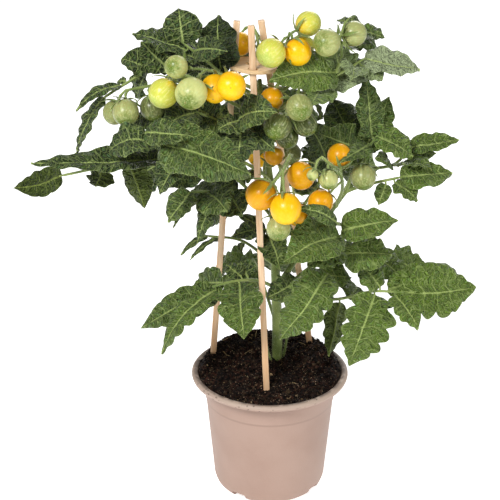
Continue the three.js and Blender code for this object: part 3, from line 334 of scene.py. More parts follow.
class Shape:
    """Corners, faces and the values that materials read, gathered for one piece."""

    def __init__(self):
        self.points = []
        self.faces = []
        self.looks = []
        self.veins = []
        self.tints = []
        self.count = 0

    def add(self, points, faces, look=0, vein=(0, 0, 0), tint=(0, 0, 0)):
        """Look is the material's number, or a list of one for each face."""
        points = np.asarray(points, float)
        self.points.append(points)
        self.faces += [[corner + self.count for corner in face] for face in faces]
        self.looks += look if isinstance(look, list) else [look] * len(faces)
        self.veins.append(np.broadcast_to(np.asarray(vein, float), points.shape))
        self.tints.append(np.broadcast_to(np.asarray(tint, float), points.shape))
        self.count += len(points)


def mesh_object(name, shape, materials=()):
    mesh = bpy.data.meshes.new(name)
    mesh.from_pydata((np.vstack(shape.points) * MM).tolist(), [], shape.faces)
    mesh.polygons.foreach_set("material_index", shape.looks)
    for title, rows in (("vein", shape.veins), ("tint", shape.tints)):
        values = mesh.attributes.new(title, "FLOAT_VECTOR", "POINT")
        values.data.foreach_set("vector", np.vstack(rows).astype(np.float32).ravel())
    for material in materials:
        mesh.materials.append(material)
    mesh.update()
    soften(mesh, CREASE)
    made = bpy.data.objects.new(name, mesh)
    bpy.context.scene.collection.objects.link(made)
    return made


def soften(mesh, crease):
    mesh.shade_smooth()
    mesh.set_sharp_from_angle(angle=math.radians(crease))


def replace_node(made, node):
    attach(made, "root")
    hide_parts(node)


def dress(node, shape, materials, slot):
    """One finer piece in the place of a solid."""
    replace_node(mesh_object("fine_" + node, shape, materials), node)


def combine(body, tool, operation="DIFFERENCE"):
    """Cuts a tool from a body, joins them or keeps what they share. The tool is a shape or an object."""
    if isinstance(tool, Shape):
        tool = mesh_object("tool", tool)
    step = body.modifiers.new("combine", "BOOLEAN")
    step.object = tool
    step.operation = operation
    step.solver = "EXACT"
    bpy.context.view_layer.update()
    made = bpy.data.meshes.new_from_object(body.evaluated_get(bpy.context.evaluated_depsgraph_get()))
    body.modifiers.clear()
    body.data = made
    bpy.data.objects.remove(tool)


def finish_cut(body, node, material, crease):
    """Puts a piece that was joined and cut in the place of a solid."""
    body.data.materials.clear()
    body.data.materials.append(material)
    soften(body.data, crease)
    replace_node(body, node)


# ---------- Faces ----------

def ring_faces(rings, sides, first=0):
    """Faces between rings of corners, seen from outside where the rings turn left about their way."""
    faces = []
    for i in range(rings - 1):
        for j in range(sides):
            a = first + i * sides + j
            b = first + i * sides + (j + 1) % sides
            faces.append((a, b, b + sides, a + sides))
    return faces


def flipped(faces):
    return [tuple(face)[::-1] for face in faces]


def pole_faces(sides, count):
    """Faces of a closed body whose corners are a pole, rings with so many sides, and a pole."""
    faces = ring_faces((count - 2) // sides, sides, 1)
    last = count - 1
    for j in range(sides):
        k = (j + 1) % sides
        faces += [(0, 1 + k, 1 + j), (last, last - sides + j, last - sides + k)]
    return faces


def prism_faces(sides, rings=2):
    """Faces of a closed body whose corners are rings, with one face over each end."""
    last = (rings - 1) * sides
    return [tuple(reversed(range(sides))), tuple(range(last, last + sides))] + ring_faces(rings, sides)


def grid_faces(rows, columns):
    corners = [i * columns + j for i in range(rows - 1) for j in range(columns - 1)]
    return [(a, a + 1, a + columns + 1, a + columns) for a in corners]


def blade_faces(rows, columns):
    """Faces of a thin blade whose corners are an upper grid and a lower one: above, below and rim."""
    count = rows * columns
    below = grid_faces(rows, columns)
    rim = ([i * columns for i in range(rows)] + [(rows - 1) * columns + j for j in range(1, columns)]
           + [i * columns + columns - 1 for i in range(rows - 2, -1, -1)] + list(range(columns - 2, 0, -1)))
    wall = [(a, b, b + count, a + count) for a, b in zip(rim, rim[1:] + rim[:1])]
    return flipped(below), [[corner + count for corner in face] for face in below], wall


def circle(radius, z, sides):
    angles = np.arange(sides) * TURN / sides
    return [(radius * math.cos(a), radius * math.sin(a), z) for a in angles]


def lathe_shape(profile, sides):
    """A closed body turned from a chain of (radius, z) that starts and ends on the axis."""
    corners = [(0, 0, profile[0][1])]
    for radius, z in profile[1:-1]:
        corners += circle(radius, z, sides)
    corners.append((0, 0, profile[-1][1]))
    shape = Shape()
    shape.add(corners, pole_faces(sides, len(corners)))
    return shape


# ---------- Tubes and hairs ----------

def ring_frames(points):
    """A pair of side vectors at each point of a chain, carried along it without twist."""
    headings = np.gradient(points, axis=0)
    headings /= np.linalg.norm(headings, axis=1)[:, None]
    side, _ = across_from(headings[0])
    sides = []
    for heading in headings:
        side = unit(side - heading * np.dot(side, heading))
        sides.append(side)
    return np.array(sides), np.cross(headings, sides), headings


def add_tube(shape, points, radii, sides=8, look=0, tint=(0, 0, 0)):
    """A closed tube along points with a radius at each, and a domed far end."""
    first, second, headings = ring_frames(points)
    angles = (np.arange(sides) * TURN / sides)[:, None]
    out = first[:, None] * np.cos(angles) + second[:, None] * np.sin(angles)
    end = headings[-1] * radii[-1]
    points = np.vstack([points, points[-1] + 0.45 * end])
    radii = np.append(radii, 0.72 * radii[-1])
    rings = points[:, None] + radii[:, None, None] * np.vstack([out, out[-1:]])
    corners = np.vstack([points[:1], rings.reshape(-1, 3), points[-1:] + 0.252 * end])
    shape.add(corners, pole_faces(sides, len(corners)), look, tint=tint)


def add_hairs(shape, points, radii, spacing, length, rng, look, thick=0.09):
    """Fine pointed hairs that stand off a tube."""
    first, second, headings = ring_frames(points)
    places = lengths_along(points)
    for _ in range(int(places[-1] / spacing)):
        place = rng.uniform(0, places[-1])
        i = min(int(np.searchsorted(places, place)), len(points) - 1)
        angle = rng.uniform(0, TURN)
        out = first[i] * math.cos(angle) + second[i] * math.sin(angle)
        root = point_at(place, places, points) + out * (np.interp(place, places, radii) - 0.12)
        direction = unit(out + headings[i] * rng.uniform(-0.4, 0.5))
        add_spike(shape, root, direction, length * rng.uniform(0.6, 1.25), thick, look)


def add_spike(shape, root, direction, length, thick, look):
    """A closed three-sided spike."""
    one, two = across_from(direction)
    foot = [root + thick * (one * math.cos(a) + two * math.sin(a)) for a in (0, TURN / 3, TURN * 2 / 3)]
    shape.add(foot + [root + direction * length], [(0, 2, 1), (0, 1, 3), (1, 2, 3), (2, 0, 3)], look)


# ---------- Leaves ----------

def leaflet_axes(base, tip, turn):
    """A leaflet's directions along its midrib, out of its face and across it."""
    along = unit(tip - base)
    outward = unit((base + tip) * (1, 1, 0))
    face = UP + OUTWARD_LEAN * outward + FRONT_LEAN * FRONT
    face = unit(face - along * np.dot(face, along))
    turn = math.radians(turn)
    face = face * math.cos(turn) + np.cross(along, face) * math.sin(turn)
    return along, face, np.cross(along, face)


def leaflet_outline(t, c, size, lobed, slim, rng):
    """The outline of a leaflet with lobes and teeth, for points at t along it and c across it.

    Gives the number of its side veins, where each point lies among them, and the point's place along
    the midrib and reach from it as parts of the length and of the half width.
    """
    draw = rng.uniform
    right = c > 0
    far = np.abs(c)
    veins = (4, 5, 6)[size] + draw(-0.25, 0.25)
    order = veins * t ** 0.92 + np.where(right, draw(-0.2, 0.2), draw(0.3, 0.6)) * np.minimum(1, far * 3)
    crest = np.sin(math.pi * np.mod(order + 0.42, 1.0) ** 1.25) ** 0.5
    steps = np.arange(9)
    right_side, left_side = (np.interp(order, steps, draw(0.3, 1.7, 9)) for _ in range(2))
    uneven = np.where(right, right_side, left_side)
    depth = uneven * lobed * draw(0.07, 0.14) * (0.8 + 0.3 * size) * (1 - 0.75 * t) * (1 - np.exp(-t / 0.06))
    teeth = 0.01 * np.abs(np.sin(math.pi * (order * 2 + draw(0, 1)))) * (1 - t)
    full = np.interp(t, MARGIN_PLACES, MARGIN_REACH) * (1 - depth * (1 - crest) - teeth)
    reach = c * full * (1 + np.where(right, 1, -1) * draw(-0.1, 0.1))
    ahead = np.interp(t, MARGIN_PLACES, MARGIN_AHEAD) * (0.6 + 0.7 * slim)
    return veins, order, t + ahead * far ** 1.3, reach


def leaflet_lift(t, c, s, reach, order, gap, length, width, bend, rng):
    """How far each point of a leaflet stands off the plane through its midrib's ends."""
    draw = rng.uniform
    far = np.abs(c)
    off = reach * width / 2
    arch = 4 * s * (1 - s) * bend * length
    trough = 0.2 * np.abs(off)
    wave = 0.07 * width * reach ** 2 * np.sin(TURN * (2.2 * s + 0.3 * np.sign(reach)))
    bulge = 0.1 * gap * (1 - np.cos(TURN * order)) * far ** 0.6 * (1 - far ** 3)
    groove = -0.03 * width * np.exp(-(off / (0.9 + 0.02 * width)) ** 2) * (1 - t)
    curl = np.where(c > 0, draw(-0.13, 0.06), draw(-0.13, 0.06)) * width * far ** 4
    crumple = 0
    for waves, share in ((1.3, 0.030), (2.4, 0.018), (4.1, 0.010)):
        way, start = draw(0, math.pi), draw(0, TURN)
        run = s * length / width * math.cos(way) + 0.5 * reach * math.sin(way)
        crumple = crumple + share * width * np.sin(TURN * waves * run + start)
    crumple = crumple * (0.35 + 0.65 * far) * np.sin(math.pi * np.clip(t, 0.02, 1) ** 0.5)
    cockle = 0.3 * np.sin(2 * TURN * order + start) * np.sin(0.42 * width * reach + 2 * start)
    cockle = cockle * np.minimum(1, 4 * far) * (1 - far ** 4)
    flutter = 0.03 * width * far ** 3 * np.sin(TURN * (order + rng.random()))
    hook = -draw(0.02, 0.07) * length * np.clip((t - 0.7) / 0.3, 0, 1) ** 2 * (1 - t ** 8)
    return arch + trough + wave + bulge + groove + curl + crumple + cockle + flutter + hook


def value_rows(*parts):
    """Three values for each corner of a blade, the same on its upper and its lower grid."""
    rows = np.stack(np.broadcast_arrays(*parts), axis=-1).reshape(-1, 3)
    return np.vstack([rows, rows])


def add_leaflet(shape, base, tip, width, turn, bend, rng, tone):
    """A lobed blade with a groove over its midrib, bulges between its side veins and a curled edge."""
    length = np.linalg.norm(tip - base)
    along, face, across = leaflet_axes(base, tip, turn)
    size = int(length > MIDDLE_LEAFLET) + int(length > LONG_LEAFLET)
    rows, columns = ((27, 13), (41, 19), (61, 25))[size]
    t = np.linspace(0, 1, rows)[:, None] ** 0.95
    c = np.linspace(-1, 1, columns)[None, :]
    c = np.sign(c) * np.abs(c) ** 0.9
    far = np.abs(c)
    lobed = 2.8 if tip[2] < DEEPLY_LOBED_BELOW else 1.3
    veins, order, s, reach = leaflet_outline(t, c, size, lobed, width / length, rng)
    gap = length / veins
    off = reach * width / 2
    lift = leaflet_lift(t, c, s, reach, order, gap, length, width, bend, rng)
    drift = rng.uniform(-0.05, 0.05) * length * np.sin(math.pi * t) ** 2
    middle = (base + along * (s * length)[..., None] + across * (off + drift)[..., None]
              + face * lift[..., None])
    normal = np.cross(np.gradient(middle, axis=1), np.gradient(middle, axis=0))
    normal /= np.maximum(np.linalg.norm(normal, axis=2), 1e-9)[..., None]
    half = 0.5 * BLADE_THICKNESS * (1 - 0.5 * far ** 2)[..., None]
    rib = (0.9 * np.exp(-(off / 0.8) ** 2) * (1 - t) ** 0.7 * (size + 1) / 3)[..., None]
    corners = np.concatenate([middle + normal * half, middle - normal * (half + rib)]).reshape(-1, 3)
    # Painted shade: the tone is lowered the nearer a point lies to the crown's axis.
    from_core = np.hypot(middle[..., 0] - CROWN_AXIS[0], middle[..., 1] - CROWN_AXIS[1]) / CROWN_SHADE_RADIUS
    above, below, wall = blade_faces(rows, columns)
    looks = [0] * len(above) + [1] * len(below) + [0] * len(wall)
    shape.add(corners, above + below + wall, looks, value_rows(order, off, gap),
              value_rows(tone - np.clip(1 - from_core, 0, 1), far, t))


def leaflet_base(curve, place, tip):
    """Where a leaflet's own short stalk leaves the leaf's stalk, and where it ends at the blade."""
    root = curve.at(place)
    heading = curve.heading(place)
    if place >= 1:
        return root, root + heading * PETIOLULE
    out = tip - root
    out = unit(out - heading * np.dot(out, heading))
    return root, root + out * (PETIOLULE + 1.2)


def stalk_tube(shape, stalk, spacing, flare, look, hair_spacing, hair_length, rng):
    """The hairy stalk of a leaf or a truss, which widens at its foot."""
    curve = Curve(stalk)
    places = np.linspace(0, 1, int(curve.length / spacing) + 2)
    points = curve.at(places)
    radii = np.interp(places, (0, flare[0], 1), (STALK_RADII[0] + flare[1], *STALK_RADII))
    add_tube(shape, points, radii, 8, look)
    add_hairs(shape, points, radii, hair_spacing, hair_length, rng, look + 1)
    return curve


def make_leaf(name, stalk, leaflets, materials, seed):
    rng = np.random.default_rng(seed)
    shape = Shape()
    curve = stalk_tube(shape, stalk, 4, (0.04, 0.5), 2, 0.7, 1.3, rng)
    for place, tip, width, turn, *bend in leaflets:
        tip = np.array(tip, float)
        root, base = leaflet_base(curve, place, tip)
        stem = Curve([root, base, base + unit(tip - base) * 1.5]).at(np.linspace(0, 1, 6))
        add_tube(shape, stem, np.full(6, 0.75), 6, 2)
        tone = 0.5 + 0.0024 * tip[0] - 0.0032 * (tip[2] - 250) + rng.uniform(-0.15, 0.15)
        # A tone over 1 marks the leaf with the painted greyish sheen.
        tone = np.clip(tone, 0, 1) + (name == GREY_SHEEN_LEAF)
        add_leaflet(shape, base, tip, width, turn, bend[0] if bend else 0.08, rng, tone)
    dress(name, shape, materials, "leaf")


# ---------- Fruit and trusses ----------

def add_fruit(shape, centre, radius, axis, rng, look=0, pale=0.0):
    """One fruit: dimpled under its calyx, faintly lobed, with a blossom scar."""
    rings, sides = 26, 36
    one, two = across_from(axis)
    polar = np.linspace(0, math.pi, rings)[:, None]
    angle = np.linspace(0, TURN, sides, endpoint=False)[None, :]
    lobes = 0.008 * np.cos(angle * 3 + rng.uniform(0, 6)) + 0.006 * np.cos(angle * 2 + rng.uniform(0, 6))
    dimple = 0.075 * np.exp(-(polar / 0.30) ** 2)
    scar = 0.012 * np.exp(-((math.pi - polar) / 0.13) ** 2)
    size = radius * (1 + lobes * np.sin(polar) - dimple - scar) * (1 + 0.02 * np.cos(2 * polar))
    out, aside = np.sin(polar) * np.cos(angle), np.sin(polar) * np.sin(angle)
    corners = (centre + axis * (np.cos(polar) * size)[..., None] + one * (out * size)[..., None]
               + two * (aside * size)[..., None])
    streak = (out, aside, polar / math.pi)
    values = (polar / math.pi, rng.uniform(0, 1), pale + 0 * angle)
    grids = [corners] + [np.stack(np.broadcast_arrays(*parts), axis=-1) for parts in (streak, values)]
    rows = [np.vstack([grid[0, :1], grid[1:-1].reshape(-1, 3), grid[-1, :1]]) for grid in grids]
    shape.add(rows[0], flipped(pole_faces(sides, len(rows[0]))), look, rows[1], rows[2])


def add_sepal(shape, centre, radius, axis, out, length, rng, look, hair_look):
    """A long pointed sepal that follows the fruit and lifts off it, curling back at its tip."""
    side = np.cross(axis, out)
    steps = 9
    t = np.linspace(0, 1, steps)
    droop = 0.14 + t * length / radius
    rise = radius + 0.55 + t ** 1.7 * rng.uniform(2.2, 6.0)
    spine = (centre + axis * (np.cos(droop) * rise)[:, None] + out * (np.sin(droop) * rise)[:, None]
             + side * (t ** 2 * rng.uniform(-1.6, 1.6))[:, None])
    half = 1.2 * np.sin(math.pi * np.clip(0.22 + 0.78 * t, 0, 1)) ** 0.8 + 0.06
    normals = spine - centre
    normals /= np.linalg.norm(normals, axis=1)[:, None]
    across = (-1, -0.5, 0, 0.5, 1)
    top = np.stack([spine + side * (c * half)[:, None] + normals * ((0.35 * abs(c) - 0.1) * half)[:, None]
                    for c in across], axis=1)
    corners = np.concatenate([top, top - normals[:, None] * 0.35]).reshape(-1, 3)
    shape.add(corners, flipped(sum(blade_faces(steps, len(across)), [])), look)
    for _ in range(18):
        i = rng.integers(0, steps - 1)
        c = rng.choice((-1, 1))
        root = spine[i] + side * c * half[i] * 0.9
        direction = unit(side * c + normals[i] * rng.uniform(0, 1.2))
        add_spike(shape, root, direction, rng.uniform(0.6, 1.2), 0.07, hair_look)


def add_calyx(shape, centre, radius, root, heading, rng, look=0, hair_look=1):
    """The stalk of one fruit, with its knuckle, and the calyx at its end."""
    axis = unit(root - centre)
    crown = centre + axis * (radius * 0.97)
    bow = unit(heading) * min(2.0, 0.2 * np.linalg.norm(root - crown))
    place = np.linspace(0, 1, 12)
    points = Curve([root - axis * 0.3, root * 0.55 + crown * 0.45 + bow, crown]).at(place)
    radii = PEDICEL_RADIUS * (1 + 0.45 * np.exp(-((place - 0.45) / 0.08) ** 2) + 0.5 * place ** 6)
    add_tube(shape, points, radii, 8, look)
    add_hairs(shape, points, radii, 0.3, 1.6, rng, hair_look, 0.08)
    one, two = across_from(axis)
    start = rng.uniform(0, TURN)
    for i in range(5):
        angle = start + i * TURN / 5 + rng.uniform(-0.12, 0.12)
        out = one * math.cos(angle) + two * math.sin(angle)
        length = rng.uniform(1.0, 1.35) * (4 + 0.6 * radius)
        add_sepal(shape, centre, radius, axis, out, length, rng, look, hair_look)


def make_truss(name, stalk, fruits, materials, skins, number):
    """A truss with its unripe fruit in one piece, and each ripening fruit as a piece of its own."""
    rng = np.random.default_rng(100 + number)
    shape = Shape()
    curve = stalk_tube(shape, stalk, 3, (0.05, 0.4), 0, 0.3, 2.0, rng)
    for centre, radius, place, *rest in fruits:
        centre = np.array(centre, float)
        root = curve.at(place)
        add_calyx(shape, centre, radius, root, curve.heading(place), rng)
        if len(rest) == 1:
            add_fruit(shape, centre, radius, unit(root - centre), rng, 2, rest[0])
    dress(name, shape, materials, "truss")
    rng = np.random.default_rng(300 + number)
    for centre, radius, place, *rest in fruits:
        if len(rest) == 2:
            centre = np.array(centre, float)
            colour, fruit_name = rest
            ripe = Shape()
            add_fruit(ripe, centre, radius, unit(curve.at(place) - centre), rng)
            dress(fruit_name, ripe, [skins[colour]], "fruit_" + colour)


# ---------- Materials ----------

def linear(value):
    """One part of a colour as it shows, from 0 to 255, in the renderer's linear light."""
    value = value / 255
    return value / 12.92 if value <= 0.04045 else ((value + 0.055) / 1.055) ** 2.4


class Value:
    """A number or colour that a material works out, to be reckoned with like a number."""

    def __init__(self, paint, socket):
        self.paint = paint
        self.socket = socket

    def math(self, operation, other=0.0):
        return self.paint.math(operation, self, other)

    def __add__(self, other):
        return self.math("ADD", other)

    def __sub__(self, other):
        return self.math("SUBTRACT", other)

    def __rsub__(self, other):
        return self.paint.math("SUBTRACT", other, self)

    def __mul__(self, other):
        return self.math("MULTIPLY", other)

    def __truediv__(self, other):
        return self.math("DIVIDE", other)

    def __abs__(self):
        return self.math("ABSOLUTE")

    def step(self, low, high):
        """0 at low and 1 at high, smooth between them. Low may be over high."""
        inputs = dict(enumerate((self, low, high, 0.0, 1.0)))
        return self.paint.value("MapRange", 0, inputs, interpolation_type="SMOOTHSTEP")


class Paint:
    """A material, with its nodes made by short calls. Colours are given as they show, to 255."""

    def __init__(self, name, roughness, **sockets):
        self.material = bpy.data.materials.new(name)
        self.material.use_nodes = True
        self.tree = self.material.node_tree
        self.shader = self.tree.nodes["Principled BSDF"].inputs
        self.shader["Roughness"].default_value = roughness
        for title, value in sockets.items():
            self.shader[title.replace("_", " ")].default_value = value

    def feed(self, socket, value):
        if isinstance(value, Value):
            self.tree.links.new(value.socket, socket)
        elif isinstance(value, tuple) and len(socket.default_value) == 4:
            socket.default_value = (*map(linear, value), 1.0)
        else:
            socket.default_value = value

    def value(self, kind, output, inputs, **settings):
        """What a new node gives, from its inputs and its settings."""
        made = self.tree.nodes.new("ShaderNode" + kind)
        for title, setting in settings.items():
            setattr(made, title, setting)
        for title, value in inputs.items():
            self.feed(made.inputs[title], value)
        return Value(self, made.outputs[output])

    def math(self, operation, *numbers):
        return self.value("Math", 0, dict(enumerate(numbers)), operation=operation)

    def mix(self, share, a, b):
        return self.value("Mix", 2, {"Factor": share, 6: a, 7: b}, data_type="RGBA")

    def layers(self, base, *over):
        """Colours laid over a base one after the other, each with its share."""
        for share, colour in over:
            base = self.mix(share, base, colour)
        return base

    def place(self, stretch=(1, 1, 1)):
        """Object coordinates in metres, stretched."""
        return self.stretched(self.value("TexCoord", "Object", {}), stretch)

    def stretched(self, vector, stretch):
        return self.value("Mapping", 0, {"Vector": vector, "Scale": stretch})

    def split(self, vector):
        return [self.value("SeparateXYZ", part, {0: vector}) for part in range(3)]

    def stored(self, title):
        """The three values stored on a mesh's corners under that title."""
        return self.value("Attribute", "Vector", {}, attribute_name=title)

    def noise(self, scale, detail=3.0, stretch=(1, 1, 1), distortion=0.0, where=None):
        inputs = {"Vector": where or self.place(stretch), "Scale": scale, "Detail": detail,
                  "Distortion": distortion}
        return self.value("TexNoise", "Fac", inputs)

    def cells(self, scale, feature="DISTANCE_TO_EDGE", where=None):
        inputs = {"Vector": where or self.place(), "Scale": scale}
        return self.value("TexVoronoi", "Distance", inputs, feature=feature)

    def streaks(self, scale):
        """Noise that is drawn out from a fruit's top to its end."""
        return self.noise(scale, 4.0, where=self.stretched(self.stored("vein"), (1, 1, 0.25)))

    def finish(self, colour, roughness=None, height=None, depth=0.0, strength=1.0):
        """The material, with its colour and, where they are given, its roughness and raised relief."""
        self.feed(self.shader["Base Color"], colour)
        if roughness:
            self.feed(self.shader["Roughness"], roughness)
        if height:
            relief = {"Height": height, "Distance": depth, "Strength": strength}
            self.feed(self.shader["Normal"], self.value("Bump", 0, relief))
        return self.material


def leaf_material(name, dark, light, vein, sheen, roughness, grooves):
    """A netted blade: raised cells between sunken pale veins, with painted shade in its creases and a painted
    highlight on the cells' tops.
    """
    paint = Paint(name, roughness, Specular_IOR_Level=0.36, Sheen_Weight=0.04, Sheen_Roughness=0.4)
    order, across, gap = paint.split(paint.stored("vein"))
    tone, far, along = paint.split(paint.stored("tint"))
    off_vein = abs((order + 0.5).math("FRACT") - 0.5) * gap
    side = 1.0 - (off_vein / (far * -0.4 + 0.6)).step(0.2, 1.3)
    rib = 1.0 - (abs(across) / (1.5 - along)).step(0.3, 1.0)
    # Millimetres across the blade and along it at the side veins' slant, bent a little by noise.
    bent = paint.noise(220.0, 2.0) * 2.4 - 1.2
    inputs = {0: (across + bent) * 0.22, 1: (order * gap + bent) * 0.42, 2: tone}
    grid = paint.value("CombineXYZ", 0, inputs)
    edge = paint.cells(1.0, where=grid)
    fine = paint.cells(2.3, where=grid).step(0.16, 0.02)
    dome = edge.step(0.0, 0.38)
    clouds = paint.noise(0.9, 4.0, where=grid)
    colour = paint.layers(
        paint.mix(clouds.step(0.36, 0.86), dark, light),
        # The tone is the leaflet's own lightness, lowered near the crown's axis for painted shade.
        (tone.step(0.0, 1.0) * 0.85, light),
        (tone.step(0.5, 0.0) * 0.25, dark),
        # Painted shade in the creases round each raised cell, and a painted highlight on the cells' tops.
        (dome.step(0.5, 0.05) * 0.5, dark),
        (dome.step(0.55, 1.0) * 0.5, sheen),
        (edge.step(0.11, 0.02) * 0.28, vein),
        (fine * 0.07, vein),
        (side * 0.42, vein),
        (far.step(0.96, 1.0) * 0.3, vein),
        # Painted greyish sheen on the leaf whose tone is raised over 1.
        (tone.step(1.0, 1.6), (158, 172, 130)),
        # Painted deep shade where the tone was lowered near the crown's axis.
        (tone.step(0.0, -0.9) * 0.75, (8, 20, 8)),
        (rib * 0.8, vein))
    height = dome * (1.0 - rib.math("MAXIMUM", side)) - fine * 0.1 + clouds * 0.8
    return paint.finish(colour, paint.noise(90.0, 2.0) * 0.25 + (roughness - 0.12), height, 0.0021 * grooves)


def stalk_material(name, dark, light):
    paint = Paint(name, 0.5, Specular_IOR_Level=0.35, Sheen_Weight=0.2)
    ridges = paint.noise(260.0, 3.0, (1, 1, 0.08))
    colour = paint.mix(paint.noise(60.0).step(0.3, 0.7), dark, light)
    return paint.finish(colour, ridges * 0.2 + 0.4, ridges, 0.0004, 0.6)


def hair_material():
    paint = Paint("hair", 0.5, Specular_IOR_Level=0.3)
    return paint.finish(paint.mix(paint.noise(300.0), (196, 208, 150), (226, 232, 196)))


def fruit_material(name, body, shoulder, end, fleck, flecks, spread, pale=None):
    """Skin from the shoulder's colour under the calyx, over the body's, to the blossom end's."""
    paint = Paint(name, 0.28, Specular_IOR_Level=0.3, Subsurface_Weight=0.1, Subsurface_Scale=0.003,
                  Coat_Weight=0.07, Coat_Roughness=0.15)
    height, _, paleness = paint.split(paint.stored("tint"))
    level = height + (paint.streaks(3.2) * 0.5 - 0.25) + (paint.noise(95.0) * 0.3 - 0.15)
    dots = paint.cells(430.0, "F1").step(0.30, 0.12) * paint.noise(170.0, 2.0).step(0.38, 0.6)
    colour = paint.layers(
        paint.mix(paleness, body, pale or body),
        (level.step(spread, 0.02), shoulder),
        (level.step(0.62, 0.98), end),
        (paint.streaks(9.0).step(0.46, 0.68) * (0.7 * flecks), fleck),
        (dots * flecks, fleck),
        (height.step(0.975, 0.99) * 0.6, (150, 120, 66)))
    return paint.finish(colour, paint.noise(70.0, 2.0) * 0.14 + 0.26, paint.noise(420.0), 0.00008, 0.5)


def pot_material():
    """Dull plastic with soil smeared inside its lip, specks of it on the rim and a painted shade line at the
    step in its side.
    """
    paint = Paint("pot_plastic", 0.55, Specular_IOR_Level=0.4)
    x, y, z = paint.split(paint.place())
    out = (x * x + y * y).math("SQRT")
    smear = (out.step(0.0640, 0.0615) * z.step(0.0975, 0.0990)
             * paint.noise(150.0, 5.0).step(0.34, 0.56) * 0.75)
    specks = (paint.cells(330.0, "F1").step(0.34, 0.18) * paint.noise(60.0, 2.0).step(0.42, 0.56)
              * z.step(0.092, 0.098) * 0.7)
    # Painted shade: a thin darker band at the step in the pot's side.
    line = POT_STEP_HEIGHT * MM
    line = z.step(line - 0.0016, line - 0.0006) * z.step(line + 0.0012, line + 0.0004)
    colour = paint.layers(
        paint.mix(paint.noise(26.0, 4.0).step(0.3, 0.7), (156, 128, 114), (164, 137, 123)),
        (paint.noise(900.0, 2.0) * 0.22, (180, 154, 140)),
        (z.step(0.0985, 0.1030) * 0.5, (190, 174, 158)),
        (z.step(0.012, 0.0) * 0.25, (150, 124, 108)),
        (line * 0.5, (138, 112, 98)),
        (smear.math("MAXIMUM", specks), (74, 56, 46)))
    height = paint.noise(300.0, 2.0, (0.05, 0.05, 1)) * 0.3 + paint.noise(700.0, 2.0)
    return paint.finish(colour, paint.noise(45.0) * 0.2 + 0.42, height, 0.00012, 0.5)


def soil_material():
    """Dark damp peat with pale grit. The paler crumbs have a tone of their own."""
    paint = Paint("peat", 0.8, Specular_IOR_Level=0.12)
    tone = paint.split(paint.stored("tint"))[0]
    grit = paint.cells(620.0, "F1").step(0.32, 0.20) * paint.noise(420.0, 2.0).step(0.50, 0.56)
    colour = paint.layers(
        paint.mix(paint.noise(380.0, 5.0).step(0.44, 0.66), (8, 3, 2), (64, 38, 28)),
        (grit * 0.85, (186, 162, 134)),
        (tone, (170, 144, 108)),
        (paint.noise(60.0).step(0.62, 0.44) * 0.6, (8, 4, 3)))
    return paint.finish(colour, paint.noise(700.0, 2.0) * 0.5 + 0.45, paint.noise(560.0, 6.0), 0.0026)


def fibre_material():
    paint = Paint("fibre", 0.8, Specular_IOR_Level=0.2)
    tone = paint.split(paint.stored("tint"))[0]
    body = paint.mix(tone.step(0.45, 0.9), (72, 52, 38), (196, 172, 128))
    return paint.finish(paint.mix(paint.noise(500.0) * 0.5, body, (60, 44, 32)))


def wood_material(name):
    """Split wood with its grain along the stick, darker towards the soil."""
    paint = Paint(name, 0.62, Specular_IOR_Level=0.3)
    grain = paint.noise(420.0, 4.0, (1, 1, 0.035), 0.6)
    fibres = paint.noise(1400.0, 3.0, (1, 1, 0.02))
    height = paint.split(paint.place())[2]
    colour = paint.layers(
        paint.mix(grain.step(0.38, 0.66), (240, 212, 178), (222, 184, 146)),
        (fibres * 0.3, (206, 164, 116)),
        (height.step(0.22, 0.11) * 0.5, (196, 146, 96)))
    return paint.finish(colour, fibres * 0.2 + 0.5, grain + fibres * 0.7, 0.0003, 0.7)


def disc_material():
    paint = Paint("disc_wood", 0.6, Specular_IOR_Level=0.3)
    grain = paint.noise(300.0, 4.0, (0.06, 1, 1), 0.5)
    colour = paint.mix(grain.step(0.35, 0.7), (236, 206, 162), (210, 170, 122))
    return paint.finish(colour, grain * 0.2 + 0.5, grain, 0.0003, 0.6)


# ---------- Pot ----------

def pot_body_radius(z):
    narrowing = 0.5 if z < POT_STEP_HEIGHT else 0
    share = (z - POT_FOOT_HEIGHT) / (POT_HEIGHT - 6 - POT_FOOT_HEIGHT)
    return POT_FOOT_RADIUS + 0.5 + share * (POT_BODY_RADIUS - POT_FOOT_RADIUS - 0.5) - narrowing


def rounded_profile(points, rounding, steps=4):
    """A chain of (radius, z) with each inner corner turned by a small curve."""
    points = [np.array(p, float) for p in points]
    chain = [points[0]]
    for before, corner, after in zip(points, points[1:], points[2:]):
        back, on = before - corner, after - corner
        cut = min(rounding, 0.45 * np.linalg.norm(back), 0.45 * np.linalg.norm(on))
        start, end = corner + unit(back) * cut, corner + unit(on) * cut
        for t in np.linspace(0, 1, steps):
            chain.append((1 - t) ** 2 * start + 2 * t * (1 - t) * corner + t ** 2 * end)
    return chain + [points[-1]]


def pot_profile():
    lip_bottom = POT_HEIGHT - 5
    floor_top = POT_WALL + 0.6
    hard = [
        (0, 0.9), (POT_BASE_RADIUS - 9, 0.9), (POT_BASE_RADIUS - 7, 0), (POT_BASE_RADIUS, 0),
        (POT_BASE_RADIUS + 3.2, 2.8), (POT_FOOT_RADIUS, POT_FOOT_HEIGHT),
        (pot_body_radius(POT_STEP_HEIGHT - 0.1), POT_STEP_HEIGHT - 0.5),
        (pot_body_radius(POT_STEP_HEIGHT), POT_STEP_HEIGHT + 0.5),
        (POT_BODY_RADIUS, lip_bottom - 1), (POT_RIM_RADIUS - 1, lip_bottom), (POT_RIM_RADIUS, POT_HEIGHT - 2),
        (POT_RIM_RADIUS - 2, POT_HEIGHT), (POT_LIP_INNER_RADIUS, POT_HEIGHT - 0.8),
        (POT_LIP_INNER_RADIUS, lip_bottom + 1.4), (POT_BODY_RADIUS - POT_WALL, lip_bottom),
        (POT_FOOT_RADIUS - POT_WALL, POT_FOOT_HEIGHT + 0.4), (POT_BASE_RADIUS - 0.6, floor_top),
        (0, floor_top),
    ]
    return rounded_profile(hard, 1.1)


